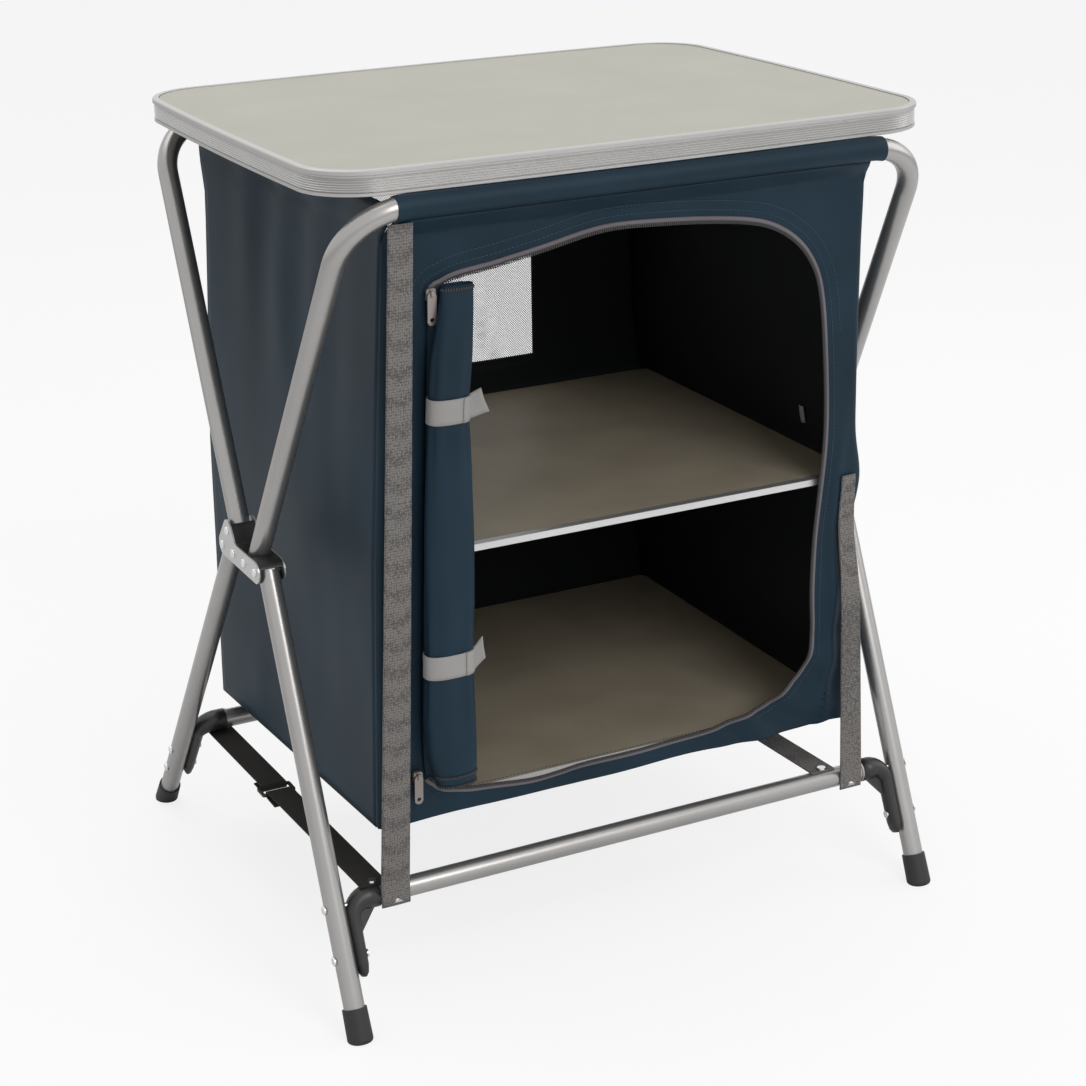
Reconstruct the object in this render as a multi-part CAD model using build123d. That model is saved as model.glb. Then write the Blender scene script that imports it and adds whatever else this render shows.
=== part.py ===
from build123d import *
import math
import os

# Folding camping cupboard: a crossed tube frame with a riveted hub on each side, a lift-off top
# and a fabric cabinet with two shelf boards that hangs from the two upper bars.
# Millimetres, +X to the right, +Y to the rear, +Z up, origin on the floor below the middle.

# Overall sizes
TOP_WIDTH = 625.0
TOP_DEPTH = 497.0
TOP_HEIGHT = 810.0
TOP_CENTRE_Y = -36.5
FOOT_SPREAD = 571.0
FOOT_SHIFT = 0.535
LEG_PLANE_X = 314.0

# Tube and its bends
TUBE_RADIUS = 10.0
TUBE_WALL = 1.2
BEND_RADIUS = 60.0

# Places of the bars
TOP_TO_BAR = 34.0
FRONT_BAR_Y = -281.0
REAR_BAR_Y = 215.0
UPPER_HALF_WIDTH = 287.5
FRONT_BOTTOM_BAR_Z = 117.0
REAR_BOTTOM_BAR_Z = 126.0
BAR_END_GAP = 4.0
BAR_RING_WIDTH = 2.0
BAR_RING_RISE = 1.0

# Hub: four pivots in a row and one more rivet that fixes the rear upper tube
HUB_Y = -50.5
HUB_Z = 408.5
PIVOT_PITCH = 29.5
FIXING_RIVET_REACH = 23.0
HUB_ARM_RADIUS = 10.7
HUB_LOBE_RADIUS = 11.0
HUB_FILLET = 8.0
HUB_CORE_HALF = 12.0
PLATE_THICKNESS = 1.5
TUBE_END_REACH = 9.5
SPLAY_SHIFT = 1.2

# Rivets
RIVET_RADIUS = 2.5
RIVET_HEAD_RADIUS = 4.3
RIVET_HEAD_HEIGHT = 2.0
RIVET_TAIL_RADIUS = 3.8
RIVET_TAIL_HEIGHT = 1.4

# Clearances
RUNNING_CLEARANCE = 0.05
SLOT_CLEARANCE = 0.6
SEAT_GAP = 0.3

# Moulded elbows and feet
ELBOW_SOCKET_RADIUS = 11.6
ELBOW_SOCKET_LENGTH = 22.0
ELBOW_FLANGE_WIDTH = 19.0
ELBOW_FLANGE_DEPTH = 12.0
ELBOW_RIB_THICKNESS = 4.0
ELBOW_RIB_DROP = 24.0
ELBOW_CORNER = 16.0
FRONT_FLANGE_LENGTH = 68.0
FRONT_RIVET_DROPS = (3.0, 51.0)
REAR_FLANGE_LENGTH = 96.0
REAR_RIVET_DROPS = (46.0, 84.0)
CAP_RADIUS = 12.4
CAP_LENGTH = 30.0
CAP_ROUNDING = 5.0
CAP_FLOOR = 4.0

# Top
RIM_HEIGHT = 22.5
RIM_CORNER_RADIUS = 60.0
FRONT_BOW = 5.0
SIDE_BOW = 5.0
RIM_LIP = 6.3
RIM_WALL = 3.6
RIM_RIB_COUNT = 6
RIM_RIB_DEPTH = 1.0
PANEL_THICKNESS = 4.0
PANEL_DROP = 0.8
LEDGE_WIDTH = 10.0
LEDGE_THICKNESS = 1.2
CLIP_WIDTH = 26.0
CLIP_X = 110.0
CLIP_WALL = 4.0
CLIP_FOOT_LENGTH = 34.0
CLIP_FOOT_THICKNESS = 4.0
SCREW_RADIUS = 1.8
SCREW_HEAD_RADIUS = 3.6
SCREW_HEAD_HEIGHT = 1.6

# Shelf boards
SHELF_THICKNESS = 4.0
EDGE_HEIGHT = 6.4
EDGE_LIP = 9.0
EDGE_WALL = 0.9
MID_SHELF_TOP = 446.0
MID_SHELF_FRONT_GAP = 4.3
MID_SHELF_BACK_GAP = 15.2
BASE_TOP = 189.0
BASE_FRONT_GAP = 6.5
BASE_BACK_GAP = 7.4

# Fabric cabinet
CLOTH = 1.2
SLEEVE_CLOTH = 1.0
SLEEVE_HALF = 244.0
SLEEVE_GAP = 0.3
HEM_HALF = 224.0
PANEL_TOP_DROP = 30.0
PANEL_TOP_SET = 19.0
FRONT_LOW_Y = -224.0
CABINET_LOW_Z = 166.0
SIDE_FRONT_LOW_Z = 160.0
SIDE_BACK_LOW_Z = 148.0
BACK_LOW_Y = 210.0
CABINET_TOP_HALF = 247.0
CABINET_MID_HALF = 258.5
CABINET_LOW_HALF = 261.5

# Door opening in the front panel
DOOR_LEFT_X = -214.0
DOOR_RIGHT_X = 208.0
DOOR_LOW_Z = 193.0
DOOR_LEFT_DROP = 51.0
DOOR_CREST_X = -30.0
DOOR_CREST_DROP = 11.0
DOOR_SHOULDER_DROP = 38.0
DOOR_TOP_RADIUS = 85.0
DOOR_LOW_RADIUS = 95.0
DOOR_HINGE_RADIUS = 28.0
DOOR_CREST_RADIUS = 160.0
ZIP_WIDTH = 9.0
ZIP_THICKNESS = 1.6

# Rolled door and its straps
ROLL_SET = 31.0
ROLL_WIDTH = 43.0
ROLL_DEPTH = 26.0
ROLL_WAIST = 4.0
ROLL_TOP_DROP = 5.0
ROLL_LOW_RISE = 21.0
UPPER_BAND_DROP = 100.0
LOWER_BAND_RISE = 130.0
BAND_HEIGHT = 25.0
BAND_THICKNESS = 1.4
BAND_TAIL = 9.0

# Zip sliders and pull tabs
SLIDER_WIDTH = 9.0
SLIDER_LENGTH = 12.0
SLIDER_THICKNESS = 3.6
TAB_WIDTH = 8.5
TAB_LENGTH = 30.0
TAB_THICKNESS = 1.4
TAB_HOLE_RADIUS = 1.9
SLIDER_SET = 0.5
UPPER_SLIDER_DROP = 2.0
LOWER_SLIDER_RISE = 33.0

# Mesh window in the back wall
WINDOW_HALF_WIDTH = 120.0
WINDOW_RISE = 34.0
WINDOW_DROP = 56.0
MESH_COLUMNS = 15
MESH_ROWS = 13
MESH_STRAND = 3.0
MESH_THICKNESS = 0.8

# Webbing straps
WEB_THICKNESS = 1.4
STRAP_WIDTH = 27.0
STRAP_END_ANGLE = 240.0
STRAP_RIVET_ANGLE = 212.0
LEFT_STRAP_GAP = 0.2
LEFT_STRAP_LEAN = 21.3
RIGHT_STRAP_GAP = 2.5
RIGHT_STRAP_LEAN = 11.0
RIGHT_STRAP_RISE = 4.0
LEFT_WEB_SET = 5.0
WEB_SPACING = 1.0
WEB_END_ANGLE = 16.0
WEB_RIVET_ANGLE = -4.0
WEB_SAG = 4.0
BUCKLE_Y = 20.0
BUCKLE_LENGTH = 20.0
BUCKLE_WIRE = 3.0
BUCKLE_TAIL = 22.0

# How far the folded boards hang from the rear bar, and how far they lie off the tubes' plane
MID_HANG = 335.0
MID_LIFT = -12.0
BASE_HANG = 380.0
BASE_LIFT = 22.0

# Places worked out from the sizes above
UPPER_BAR_Z = TOP_HEIGHT - TOP_TO_BAR
PANEL_TOP_Z = UPPER_BAR_Z - PANEL_TOP_DROP
FRONT_TOP_Y = FRONT_BAR_Y + PANEL_TOP_SET
BACK_TOP_Y = REAR_BAR_Y - PANEL_TOP_SET
DOOR_LEFT_TOP_Z = PANEL_TOP_Z - DOOR_LEFT_DROP
DOOR_CREST_Z = PANEL_TOP_Z - DOOR_CREST_DROP
DOOR_SHOULDER_Z = PANEL_TOP_Z - DOOR_SHOULDER_DROP
ROLL_X = DOOR_LEFT_X + ROLL_SET
ROLL_TOP_Z = DOOR_LEFT_TOP_Z - ROLL_TOP_DROP
ROLL_LOW_Z = DOOR_LOW_Z + ROLL_LOW_RISE
UPPER_BAND_Z = ROLL_TOP_Z - UPPER_BAND_DROP
LOWER_BAND_Z = ROLL_LOW_Z + LOWER_BAND_RISE
UPPER_SLIDER_XZ = (DOOR_LEFT_X - SLIDER_SET, DOOR_LEFT_TOP_Z - UPPER_SLIDER_DROP)
LOWER_SLIDER_XZ = (DOOR_LEFT_X - SLIDER_SET, DOOR_LOW_Z + LOWER_SLIDER_RISE)
WINDOW_LOW_Z = MID_SHELF_TOP + WINDOW_RISE
WINDOW_TOP_Z = PANEL_TOP_Z - WINDOW_DROP
FLANGE_X = LEG_PLANE_X - TUBE_RADIUS - ELBOW_FLANGE_DEPTH
BOTTOM_BAR_HALF = FLANGE_X - BAR_END_GAP
BAR_RING_X = FLANGE_X - ELBOW_SOCKET_LENGTH
STRAP_ROOM_X = BAR_RING_X - BAR_RING_WIDTH - STRAP_WIDTH / 2
LEFT_STRAP_X = LEFT_STRAP_GAP - STRAP_ROOM_X
LEFT_STRAP_TOP_X = LEFT_STRAP_X + LEFT_STRAP_LEAN
RIGHT_STRAP_X = STRAP_ROOM_X - RIGHT_STRAP_GAP
RIGHT_STRAP_TOP_X = RIGHT_STRAP_X - RIGHT_STRAP_LEAN
RIGHT_STRAP_TOP_Z = MID_SHELF_TOP + RIGHT_STRAP_RISE
LEFT_WEB_X = -BAR_RING_X - LEFT_WEB_SET
RIGHT_WEB_X = RIGHT_STRAP_X - STRAP_WIDTH - WEB_SPACING
HUB_ROW = {
    "rear_lower": (HUB_Y + PIVOT_PITCH, HUB_Z),
    "rear_upper": (HUB_Y, HUB_Z),
    "front_upper": (HUB_Y - PIVOT_PITCH, HUB_Z),
    "front_lower": (HUB_Y - 2 * PIVOT_PITCH, HUB_Z),
}
FRONT_FOOT = (FOOT_SHIFT - FOOT_SPREAD / 2, 0.0)
REAR_FOOT = (FOOT_SHIFT + FOOT_SPREAD / 2, 0.0)
FRONT_BAR = (FRONT_BAR_Y, UPPER_BAR_Z)
REAR_BAR = (REAR_BAR_Y, UPPER_BAR_Z)
RIM_LOW_Z = TOP_HEIGHT - RIM_HEIGHT
BOX_REACH = 200.0


def direction(start, end):
    """Unit vector from start to end, both (y, z)."""
    length = math.hypot(end[0] - start[0], end[1] - start[1])
    return ((end[0] - start[0]) / length, (end[1] - start[1]) / length)


def angle_of(start, end):
    """Angle of the line from start to end in the side view, from +Y towards +Z."""
    return math.degrees(math.atan2(end[1] - start[1], end[0] - start[0]))


def along(start, end, reach):
    """The (y, z) point that lies reach from start, towards end."""
    step = direction(start, end)
    return (start[0] + step[0] * reach, start[1] + step[1] * reach)


def at_height(start, end, height):
    """The (y, z) point of the line from start to end at one height."""
    share = (height - start[1]) / (end[1] - start[1])
    return (start[0] + share * (end[0] - start[0]), height)


def rod(start, end, radius):
    """Solid round bar between two points."""
    axis = Vector(*end) - Vector(*start)
    plane = Plane(origin=start, z_dir=axis)
    return plane * Cylinder(radius, axis.length, align=(Align.CENTER, Align.CENTER, Align.MIN))


def cross_rod(x_low, x_high, point, radius):
    """Round bar along X at a (y, z) point."""
    return rod((x_low, point[0], point[1]), (x_high, point[0], point[1]), radius)


def mirrored(shape):
    return mirror(shape, about=Plane.YZ)


def side_sketch(shape, x_low, x_high):
    """Side-view sketch, drawn as (y, z), made solid from x_low to x_high."""
    return extrude(Plane.YZ.offset(x_low) * shape, amount=x_high - x_low)


def front_bottom_bar():
    return at_height(HUB_ROW["front_lower"], FRONT_FOOT, FRONT_BOTTOM_BAR_Z)


def rear_bottom_bar():
    return at_height(HUB_ROW["rear_lower"], REAR_FOOT, REAR_BOTTOM_BAR_Z)


def rounded_end(pivot, towards, width):
    """What is cut off a tube so that it ends in a round nose about its pivot."""
    back = angle_of(towards, pivot)
    block = Rectangle(BEND_RADIUS, 4 * TUBE_RADIUS, align=(Align.MIN, Align.CENTER))
    cut = Pos(*pivot) * Rot(0, 0, back) * (block - Circle(TUBE_END_REACH))
    return side_sketch(cut, LEG_PLANE_X - width, LEG_PLANE_X + width)


def lower_leg(pivot, foot, rivet_drops, bar):
    """Straight right-hand leg with its round top end and rivet holes."""
    top = along(pivot, foot, -TUBE_END_REACH - 1)
    end = along(foot, pivot, CAP_FLOOR + TUBE_RADIUS)
    start_point = (LEG_PLANE_X, top[0], top[1])
    end_point = (LEG_PLANE_X, end[0], end[1])
    tube = rod(start_point, end_point, TUBE_RADIUS)
    tube -= rod(start_point, end_point, TUBE_RADIUS - TUBE_WALL)
    tube -= rounded_end(pivot, foot, 2 * TUBE_RADIUS)
    holes = [pivot] + [along(bar, foot, drop) for drop in rivet_drops]
    for hole in holes:
        tube -= cross_rod(
            LEG_PLANE_X - 2 * TUBE_RADIUS,
            LEG_PLANE_X + 2 * TUBE_RADIUS,
            hole,
            RIVET_RADIUS + RUNNING_CLEARANCE,
        )
    return tube


def upper_path(pivot, bar, hub_x):
    """Centre line of an upper frame: up from the left hub, across, and down to the right hub."""
    end = along(pivot, bar, -TUBE_END_REACH - 1)
    slope = (UPPER_HALF_WIDTH - hub_x) / math.dist(pivot, bar)
    end_x = hub_x - slope * (TUBE_END_REACH + 1)
    return FilletPolyline(
        (-end_x, end[0], end[1]),
        (-UPPER_HALF_WIDTH, bar[0], bar[1]),
        (UPPER_HALF_WIDTH, bar[0], bar[1]),
        (end_x, end[0], end[1]),
        radius=BEND_RADIUS,
    )


def pipe(path, outer, inner):
    section = Plane(origin=path @ 0, z_dir=path % 0)
    return sweep(section * Circle(outer), path) - sweep(section * Circle(inner), path)


def upper_frame(pivot, bar, hub_x, holes):
    """Upper tube with its two bends, round ends and rivet holes."""
    tube = pipe(upper_path(pivot, bar, hub_x), TUBE_RADIUS, TUBE_RADIUS - TUBE_WALL)
    nose = rounded_end(pivot, bar, 2 * TUBE_RADIUS)
    tube -= nose
    tube -= mirrored(nose)
    for hole in holes:
        drill = cross_rod(
            LEG_PLANE_X - 2 * TUBE_RADIUS,
            LEG_PLANE_X + 2 * TUBE_RADIUS,
            hole,
            RIVET_RADIUS + RUNNING_CLEARANCE,
        )
        tube -= drill
        tube -= mirrored(drill)
    return tube


def fixing_rivet():
    return along(HUB_ROW["rear_upper"], REAR_BAR, FIXING_RIVET_REACH)


def hub_rivet_places():
    return list(HUB_ROW.values()) + [fixing_rivet()]


def hub_outline():
    """Long arm over the four pivots with a lobe that reaches up to the fixing rivet."""
    front = HUB_ROW["front_lower"]
    rear = HUB_ROW["rear_lower"]
    arm = make_hull(
        (
            Pos(*front) * Circle(HUB_ARM_RADIUS)
            + Pos(*rear) * Circle(HUB_ARM_RADIUS)
        ).edges()
    )
    lobe = make_hull(
        (
            Pos(*fixing_rivet()) * Circle(HUB_LOBE_RADIUS)
            + Pos(*rear) * Circle(HUB_ARM_RADIUS)
            + Pos(*HUB_ROW["rear_upper"]) * Circle(HUB_ARM_RADIUS)
        ).edges()
    )
    outline = arm + lobe
    inner_corner = (HUB_Y - HUB_ARM_RADIUS, HUB_Z + HUB_ARM_RADIUS)
    corner = outline.vertices().sort_by_distance((inner_corner[0], inner_corner[1], 0))[0]
    return fillet(corner, HUB_FILLET)


def swept_slot(pivot, rest, folded, width):
    """Side-view room for a tube that swings about its pivot between two angles."""
    half = TUBE_RADIUS + SLOT_CLEARANCE
    reach = 6 * TUBE_RADIUS
    rings = Circle(half)
    for share in (0.0, 0.5, 1.0):
        angle = math.radians(rest + share * (folded - rest))
        rings += Pos(reach * math.cos(angle), reach * math.sin(angle)) * Circle(half)
    shape = Pos(*pivot) * make_hull(rings.edges())
    return side_sketch(shape, LEG_PLANE_X - width, LEG_PLANE_X + width)


def fold_line():
    """Side-view angle of the rear upper tube, along which everything lies when folded."""
    return angle_of(HUB_ROW["rear_upper"], REAR_BAR)


def hub_block():
    """Moulded liner between the two plates, open where the tubes swing."""
    block = side_sketch(hub_outline(), LEG_PLANE_X - HUB_CORE_HALF, LEG_PLANE_X + HUB_CORE_HALF)
    folded = fold_line()
    snug = TUBE_RADIUS + SEAT_GAP
    free = HUB_CORE_HALF
    rear_lower = HUB_ROW["rear_lower"]
    front_lower = HUB_ROW["front_lower"]
    front_upper = HUB_ROW["front_upper"]
    rear_upper = HUB_ROW["rear_upper"]
    rest = angle_of(rear_lower, REAR_FOOT)
    block -= swept_slot(rear_lower, rest, folded - 180, snug)
    rest = angle_of(front_lower, FRONT_FOOT)
    block -= swept_slot(front_lower, rest, folded - 180, snug)
    rest = angle_of(front_upper, FRONT_BAR)
    block -= swept_slot(front_upper, rest, folded, free)
    block -= swept_slot(rear_upper, folded, folded, free)
    for place in hub_rivet_places():
        block -= cross_rod(
            LEG_PLANE_X - 2 * TUBE_RADIUS,
            LEG_PLANE_X + 2 * TUBE_RADIUS,
            place,
            RIVET_RADIUS + RUNNING_CLEARANCE,
        )
    return block


def hub_plate(x_low):
    plate = side_sketch(hub_outline(), x_low, x_low + PLATE_THICKNESS)
    for place in hub_rivet_places():
        plate -= cross_rod(x_low - 1, x_low + PLATE_THICKNESS + 1, place, RIVET_RADIUS)
    return plate


def rivet(point, x_low, x_high):
    """Rivet along X: shank from x_low to x_high, domed head outside, flat tail inside."""
    shank = cross_rod(x_low, x_high, point, RIVET_RADIUS)
    head = cross_rod(x_high, x_high + RIVET_HEAD_HEIGHT, point, RIVET_HEAD_RADIUS)
    head = fillet(head.edges().group_by(Axis.X)[-1], RIVET_HEAD_HEIGHT * 0.6)
    tail = cross_rod(x_low - RIVET_TAIL_HEIGHT, x_low, point, RIVET_TAIL_RADIUS)
    return shank + head + tail


def hub_rivets():
    reach = HUB_CORE_HALF + PLATE_THICKNESS
    return [
        rivet(place, LEG_PLANE_X - reach, LEG_PLANE_X + reach)
        for place in hub_rivet_places()
    ]


def bottom_bar(place):
    bar = cross_rod(-BOTTOM_BAR_HALF, BOTTOM_BAR_HALF, place, TUBE_RADIUS)
    ring = cross_rod(
        BAR_RING_X - BAR_RING_WIDTH, BAR_RING_X, place, TUBE_RADIUS + BAR_RING_RISE
    )
    bar += ring
    bar += mirrored(ring)
    return bar - cross_rod(
        -BOTTOM_BAR_HALF - 1, BOTTOM_BAR_HALF + 1, place, TUBE_RADIUS - TUBE_WALL
    )


def elbow(bar, foot, flange_length, rivet_drops, has_rib):
    """Moulded fitting: a socket for the bar that turns down into a flange along the leg."""
    leg_face = LEG_PLANE_X - TUBE_RADIUS
    seat = leg_face + 0.4 * TUBE_RADIUS
    top = ELBOW_SOCKET_RADIUS
    outline = Polyline(
        (BAR_RING_X, top),
        (seat, top),
        (seat, -flange_length),
        (FLANGE_X, -flange_length),
        (FLANGE_X, -top),
        (BAR_RING_X, -top),
        close=True,
    )
    profile = make_face(outline)
    corner = profile.vertices().sort_by_distance((seat, top, 0))[0]
    profile = fillet(corner, ELBOW_CORNER)
    toe = profile.vertices().sort_by_distance((FLANGE_X, -flange_length, 0))[0]
    profile = fillet(toe, ELBOW_FLANGE_DEPTH / 2)
    down = direction(bar, foot)
    plane = Plane(
        origin=(0, bar[0], bar[1]),
        x_dir=(1, 0, 0),
        z_dir=(0, down[1], -down[0]),
    )
    body = extrude(plane * profile, amount=ELBOW_FLANGE_WIDTH / 2, both=True)
    body &= cross_rod(FLANGE_X, leg_face + TUBE_RADIUS, bar, 2 * flange_length)
    body += cross_rod(BAR_RING_X, FLANGE_X, bar, ELBOW_SOCKET_RADIUS)
    if has_rib:
        rib = Polygon(
            (BAR_RING_X + 2, -ELBOW_SOCKET_RADIUS + 1),
            (FLANGE_X + 1, -ELBOW_SOCKET_RADIUS + 1),
            (FLANGE_X + 1, -ELBOW_SOCKET_RADIUS - ELBOW_RIB_DROP),
            align=None,
        )
        body += extrude(plane * rib, amount=ELBOW_RIB_THICKNESS / 2, both=True)
    leg_low = along(foot, bar, -BOX_REACH)
    leg_high = along(bar, foot, -BOX_REACH)
    body -= rod(
        (LEG_PLANE_X, leg_low[0], leg_low[1]),
        (LEG_PLANE_X, leg_high[0], leg_high[1]),
        TUBE_RADIUS + SEAT_GAP / 2,
    )
    body -= cross_rod(
        BAR_RING_X - 1, BOTTOM_BAR_HALF + SEAT_GAP, bar, TUBE_RADIUS + RUNNING_CLEARANCE
    )
    for drop in rivet_drops:
        body -= cross_rod(
            BAR_RING_X, LEG_PLANE_X, along(bar, foot, drop), RIVET_RADIUS + RUNNING_CLEARANCE
        )
    return body


def elbow_rivets(bar, foot, rivet_drops):
    """Rivets through the leg and its elbow; one beside the bar ends inside the bar's tube."""
    rivets = []
    for drop in rivet_drops:
        start = BOTTOM_BAR_HALF + SEAT_GAP if drop < TUBE_RADIUS else FLANGE_X
        one = rivet(along(bar, foot, drop), start, LEG_PLANE_X + TUBE_RADIUS)
        rivets += [one, mirrored(one)]
    return rivets


def foot_cap(pivot, foot):
    """Rubber cap pushed over the leg, with a round lower edge and a small flat on the floor."""
    up = direction(foot, pivot)
    lower = along(foot, pivot, -CAP_FLOOR)
    profile = Polyline(
        (0, 0),
        (CAP_RADIUS, 0),
        (CAP_RADIUS - 0.6, CAP_LENGTH + CAP_FLOOR),
        (0, CAP_LENGTH + CAP_FLOOR),
        close=True,
    )
    face = make_face(profile)
    edge = face.vertices().sort_by_distance((CAP_RADIUS, 0, 0))[0]
    face = fillet(edge, CAP_ROUNDING)
    plane = Plane(origin=(LEG_PLANE_X, lower[0], lower[1]), x_dir=(1, 0, 0), z_dir=(0, up[0], up[1]))
    solid = plane * revolve(Plane.XZ * face, Axis.Z)
    tube_end = along(foot, pivot, CAP_FLOOR + TUBE_RADIUS)
    beyond = along(foot, pivot, BOX_REACH)
    solid -= rod(
        (LEG_PLANE_X, tube_end[0], tube_end[1]),
        (LEG_PLANE_X, beyond[0], beyond[1]),
        TUBE_RADIUS + RUNNING_CLEARANCE,
    )
    floor = Pos(LEG_PLANE_X, lower[0], 0) * Box(
        BOX_REACH, BOX_REACH, BOX_REACH, align=(Align.CENTER, Align.CENTER, Align.MAX)
    )
    return solid - floor


def top_outline(inset):
    """Rounded plan outline of the top with gently bowed sides."""
    half_x = TOP_WIDTH / 2 - inset
    half_y = TOP_DEPTH / 2 - inset
    corner_x = half_x - SIDE_BOW
    corner_y = half_y - FRONT_BOW
    corners = [
        (-corner_x, -corner_y),
        (corner_x, -corner_y),
        (corner_x, corner_y),
        (-corner_x, corner_y),
    ]
    middles = [(0, -half_y), (half_x, 0), (0, half_y), (-half_x, 0)]
    sides = [
        ThreePointArc(corners[index], middles[index], corners[(index + 1) % 4])
        for index in range(4)
    ]
    face = make_face(sides)
    return fillet(face.vertices(), RIM_CORNER_RADIUS - inset)


def rim_profile():
    """Section of the aluminium rim: top bead, groove, fine ribs, bottom bead, panel ledge.
    The first value is the distance in from the outline, the second the height in the rim."""
    groove = 2.2
    ribs_top = RIM_HEIGHT - 6.7
    ribs_low = 3.4
    pitch = (ribs_top - ribs_low) / RIM_RIB_COUNT
    points = [(0.9, RIM_HEIGHT), (0.0, RIM_HEIGHT - 0.9), (0.0, RIM_HEIGHT - 4.2)]
    points += [(groove, RIM_HEIGHT - 5.2)]
    for index in range(RIM_RIB_COUNT):
        points.append((groove, ribs_top - pitch * index))
        points.append((groove - RIM_RIB_DEPTH, ribs_top - pitch * (index + 0.5)))
    points += [(groove, ribs_low), (0.8, 2.8), (0.8, 0.5), (1.3, 0.0), (8.0, 0.0), (8.0, 1.4)]
    ledge_top = RIM_HEIGHT - PANEL_DROP - PANEL_THICKNESS - SEAT_GAP
    points += [(RIM_WALL, 1.4), (RIM_WALL, ledge_top - LEDGE_THICKNESS)]
    points += [(LEDGE_WIDTH, ledge_top - LEDGE_THICKNESS), (LEDGE_WIDTH, ledge_top)]
    points += [(RIM_LIP, ledge_top), (RIM_LIP, RIM_HEIGHT)]
    return points


def tabletop_rim():
    outline = Pos(0, TOP_CENTRE_Y, RIM_LOW_Z) * top_outline(0)
    path = outline.wires()[0]
    start = path @ 0
    tangent = path % 0
    inward = Vector(0, TOP_CENTRE_Y, RIM_LOW_Z) - start
    x_dir = inward - tangent * inward.dot(tangent)
    plane = Plane(origin=start, x_dir=x_dir, z_dir=x_dir.cross(Vector(0, 0, 1)))
    face = plane * make_face(Polyline(*rim_profile(), close=True))
    return sweep(face, path)


def tabletop_panel():
    face = top_outline(RIM_LIP + SEAT_GAP)
    low = TOP_HEIGHT - PANEL_DROP - PANEL_THICKNESS
    return extrude(Pos(0, TOP_CENTRE_Y, low) * face, amount=PANEL_THICKNESS)


def clip_places():
    return (-CLIP_X, CLIP_X)


def rear_stop_y():
    """Front side of the rear bar with its sleeve, where the clips bear."""
    return REAR_BAR_Y - TUBE_RADIUS - SLEEVE_GAP - SLEEVE_CLOTH - SEAT_GAP


def tabletop_clips():
    """Two moulded locators under the top that hook in front of the rear bar."""
    under = TOP_HEIGHT - PANEL_DROP - PANEL_THICKNESS
    face_y = rear_stop_y()
    clips = []
    for x in clip_places():
        outline = Polyline(
            (face_y - CLIP_FOOT_LENGTH, under),
            (face_y - LEDGE_WIDTH + CLIP_WALL, under),
            (face_y, under - 18.0),
            (face_y, UPPER_BAR_Z - 6.0),
            (face_y - CLIP_WALL, UPPER_BAR_Z - 10.0),
            (face_y - CLIP_WALL, under - 18.0),
            (face_y - CLIP_WALL - 8.0, under - CLIP_FOOT_THICKNESS),
            (face_y - CLIP_FOOT_LENGTH, under - CLIP_FOOT_THICKNESS),
            close=True,
        )
        clip = side_sketch(make_face(outline), x - CLIP_WIDTH / 2, x + CLIP_WIDTH / 2)
        for screw_x in (x - CLIP_WIDTH / 4, x + CLIP_WIDTH / 4):
            clip -= rod(
                (screw_x, screw_y(), under - BEND_RADIUS),
                (screw_x, screw_y(), under + 1),
                SCREW_RADIUS + RUNNING_CLEARANCE,
            )
        clips.append(clip)
    return clips


def screw_y():
    return rear_stop_y() - CLIP_FOOT_LENGTH + 10.0


def clip_screws():
    under = TOP_HEIGHT - PANEL_DROP - PANEL_THICKNESS
    head_top = under - CLIP_FOOT_THICKNESS
    screws = []
    for x in clip_places():
        for screw_x in (x - CLIP_WIDTH / 4, x + CLIP_WIDTH / 4):
            shank = rod((screw_x, screw_y(), head_top), (screw_x, screw_y(), under), SCREW_RADIUS)
            head = rod(
                (screw_x, screw_y(), head_top - SCREW_HEAD_HEIGHT),
                (screw_x, screw_y(), head_top),
                SCREW_HEAD_RADIUS,
            )
            screws.append(shank + head)
    return screws


def shelf_half(top_z):
    """Half width of a shelf board, so that it just fills the cabinet at its height."""
    return half_width(top_z) - CLOTH - 2 * SEAT_GAP


def mid_shelf_span():
    """Front and back edges of the middle shelf, a little inside the cloth."""
    front = front_y(MID_SHELF_TOP) + MID_SHELF_FRONT_GAP
    return front, back_y(MID_SHELF_TOP) - MID_SHELF_BACK_GAP


def base_span():
    """Front and back edges of the base board."""
    return front_y(BASE_TOP) + BASE_FRONT_GAP, back_y(BASE_TOP) - BASE_BACK_GAP


def shelf_board(front, back, top_z):
    depth = back - front - SEAT_GAP - EDGE_WALL
    board = RectangleRounded(2 * shelf_half(top_z), depth, 8.0)
    return extrude(Pos(0, back - depth / 2, top_z - SHELF_THICKNESS) * board, amount=SHELF_THICKNESS)


def shelf_front_edge(front, top_z):
    """Aluminium channel pressed over the front edge of a shelf board."""
    middle = top_z - SHELF_THICKNESS / 2
    half = EDGE_HEIGHT / 2
    inside = SHELF_THICKNESS / 2 + RUNNING_CLEARANCE
    outline = Polyline(
        (front, middle - half),
        (front + EDGE_LIP, middle - half),
        (front + EDGE_LIP, middle - inside),
        (front + EDGE_WALL, middle - inside),
        (front + EDGE_WALL, middle + inside),
        (front + EDGE_LIP, middle + inside),
        (front + EDGE_LIP, middle + half),
        (front, middle + half),
        close=True,
    )
    half_length = shelf_half(top_z) - SEAT_GAP
    return side_sketch(make_face(outline), -half_length, half_length)


def sleeve(pivot, bar, hub_x):
    """Fabric tunnel that the upper bar runs through."""
    inner = TUBE_RADIUS + SLEEVE_GAP
    tunnel = pipe(upper_path(pivot, bar, hub_x), inner + SLEEVE_CLOTH, inner)
    return tunnel & Pos(0, bar[0], bar[1]) * Box(2 * SLEEVE_HALF, BOX_REACH, BOX_REACH)


def sleeve_low():
    """Height where the panels' hems meet the sleeves."""
    return UPPER_BAR_Z - TUBE_RADIUS - SLEEVE_GAP - SLEEVE_CLOTH - SEAT_GAP


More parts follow.
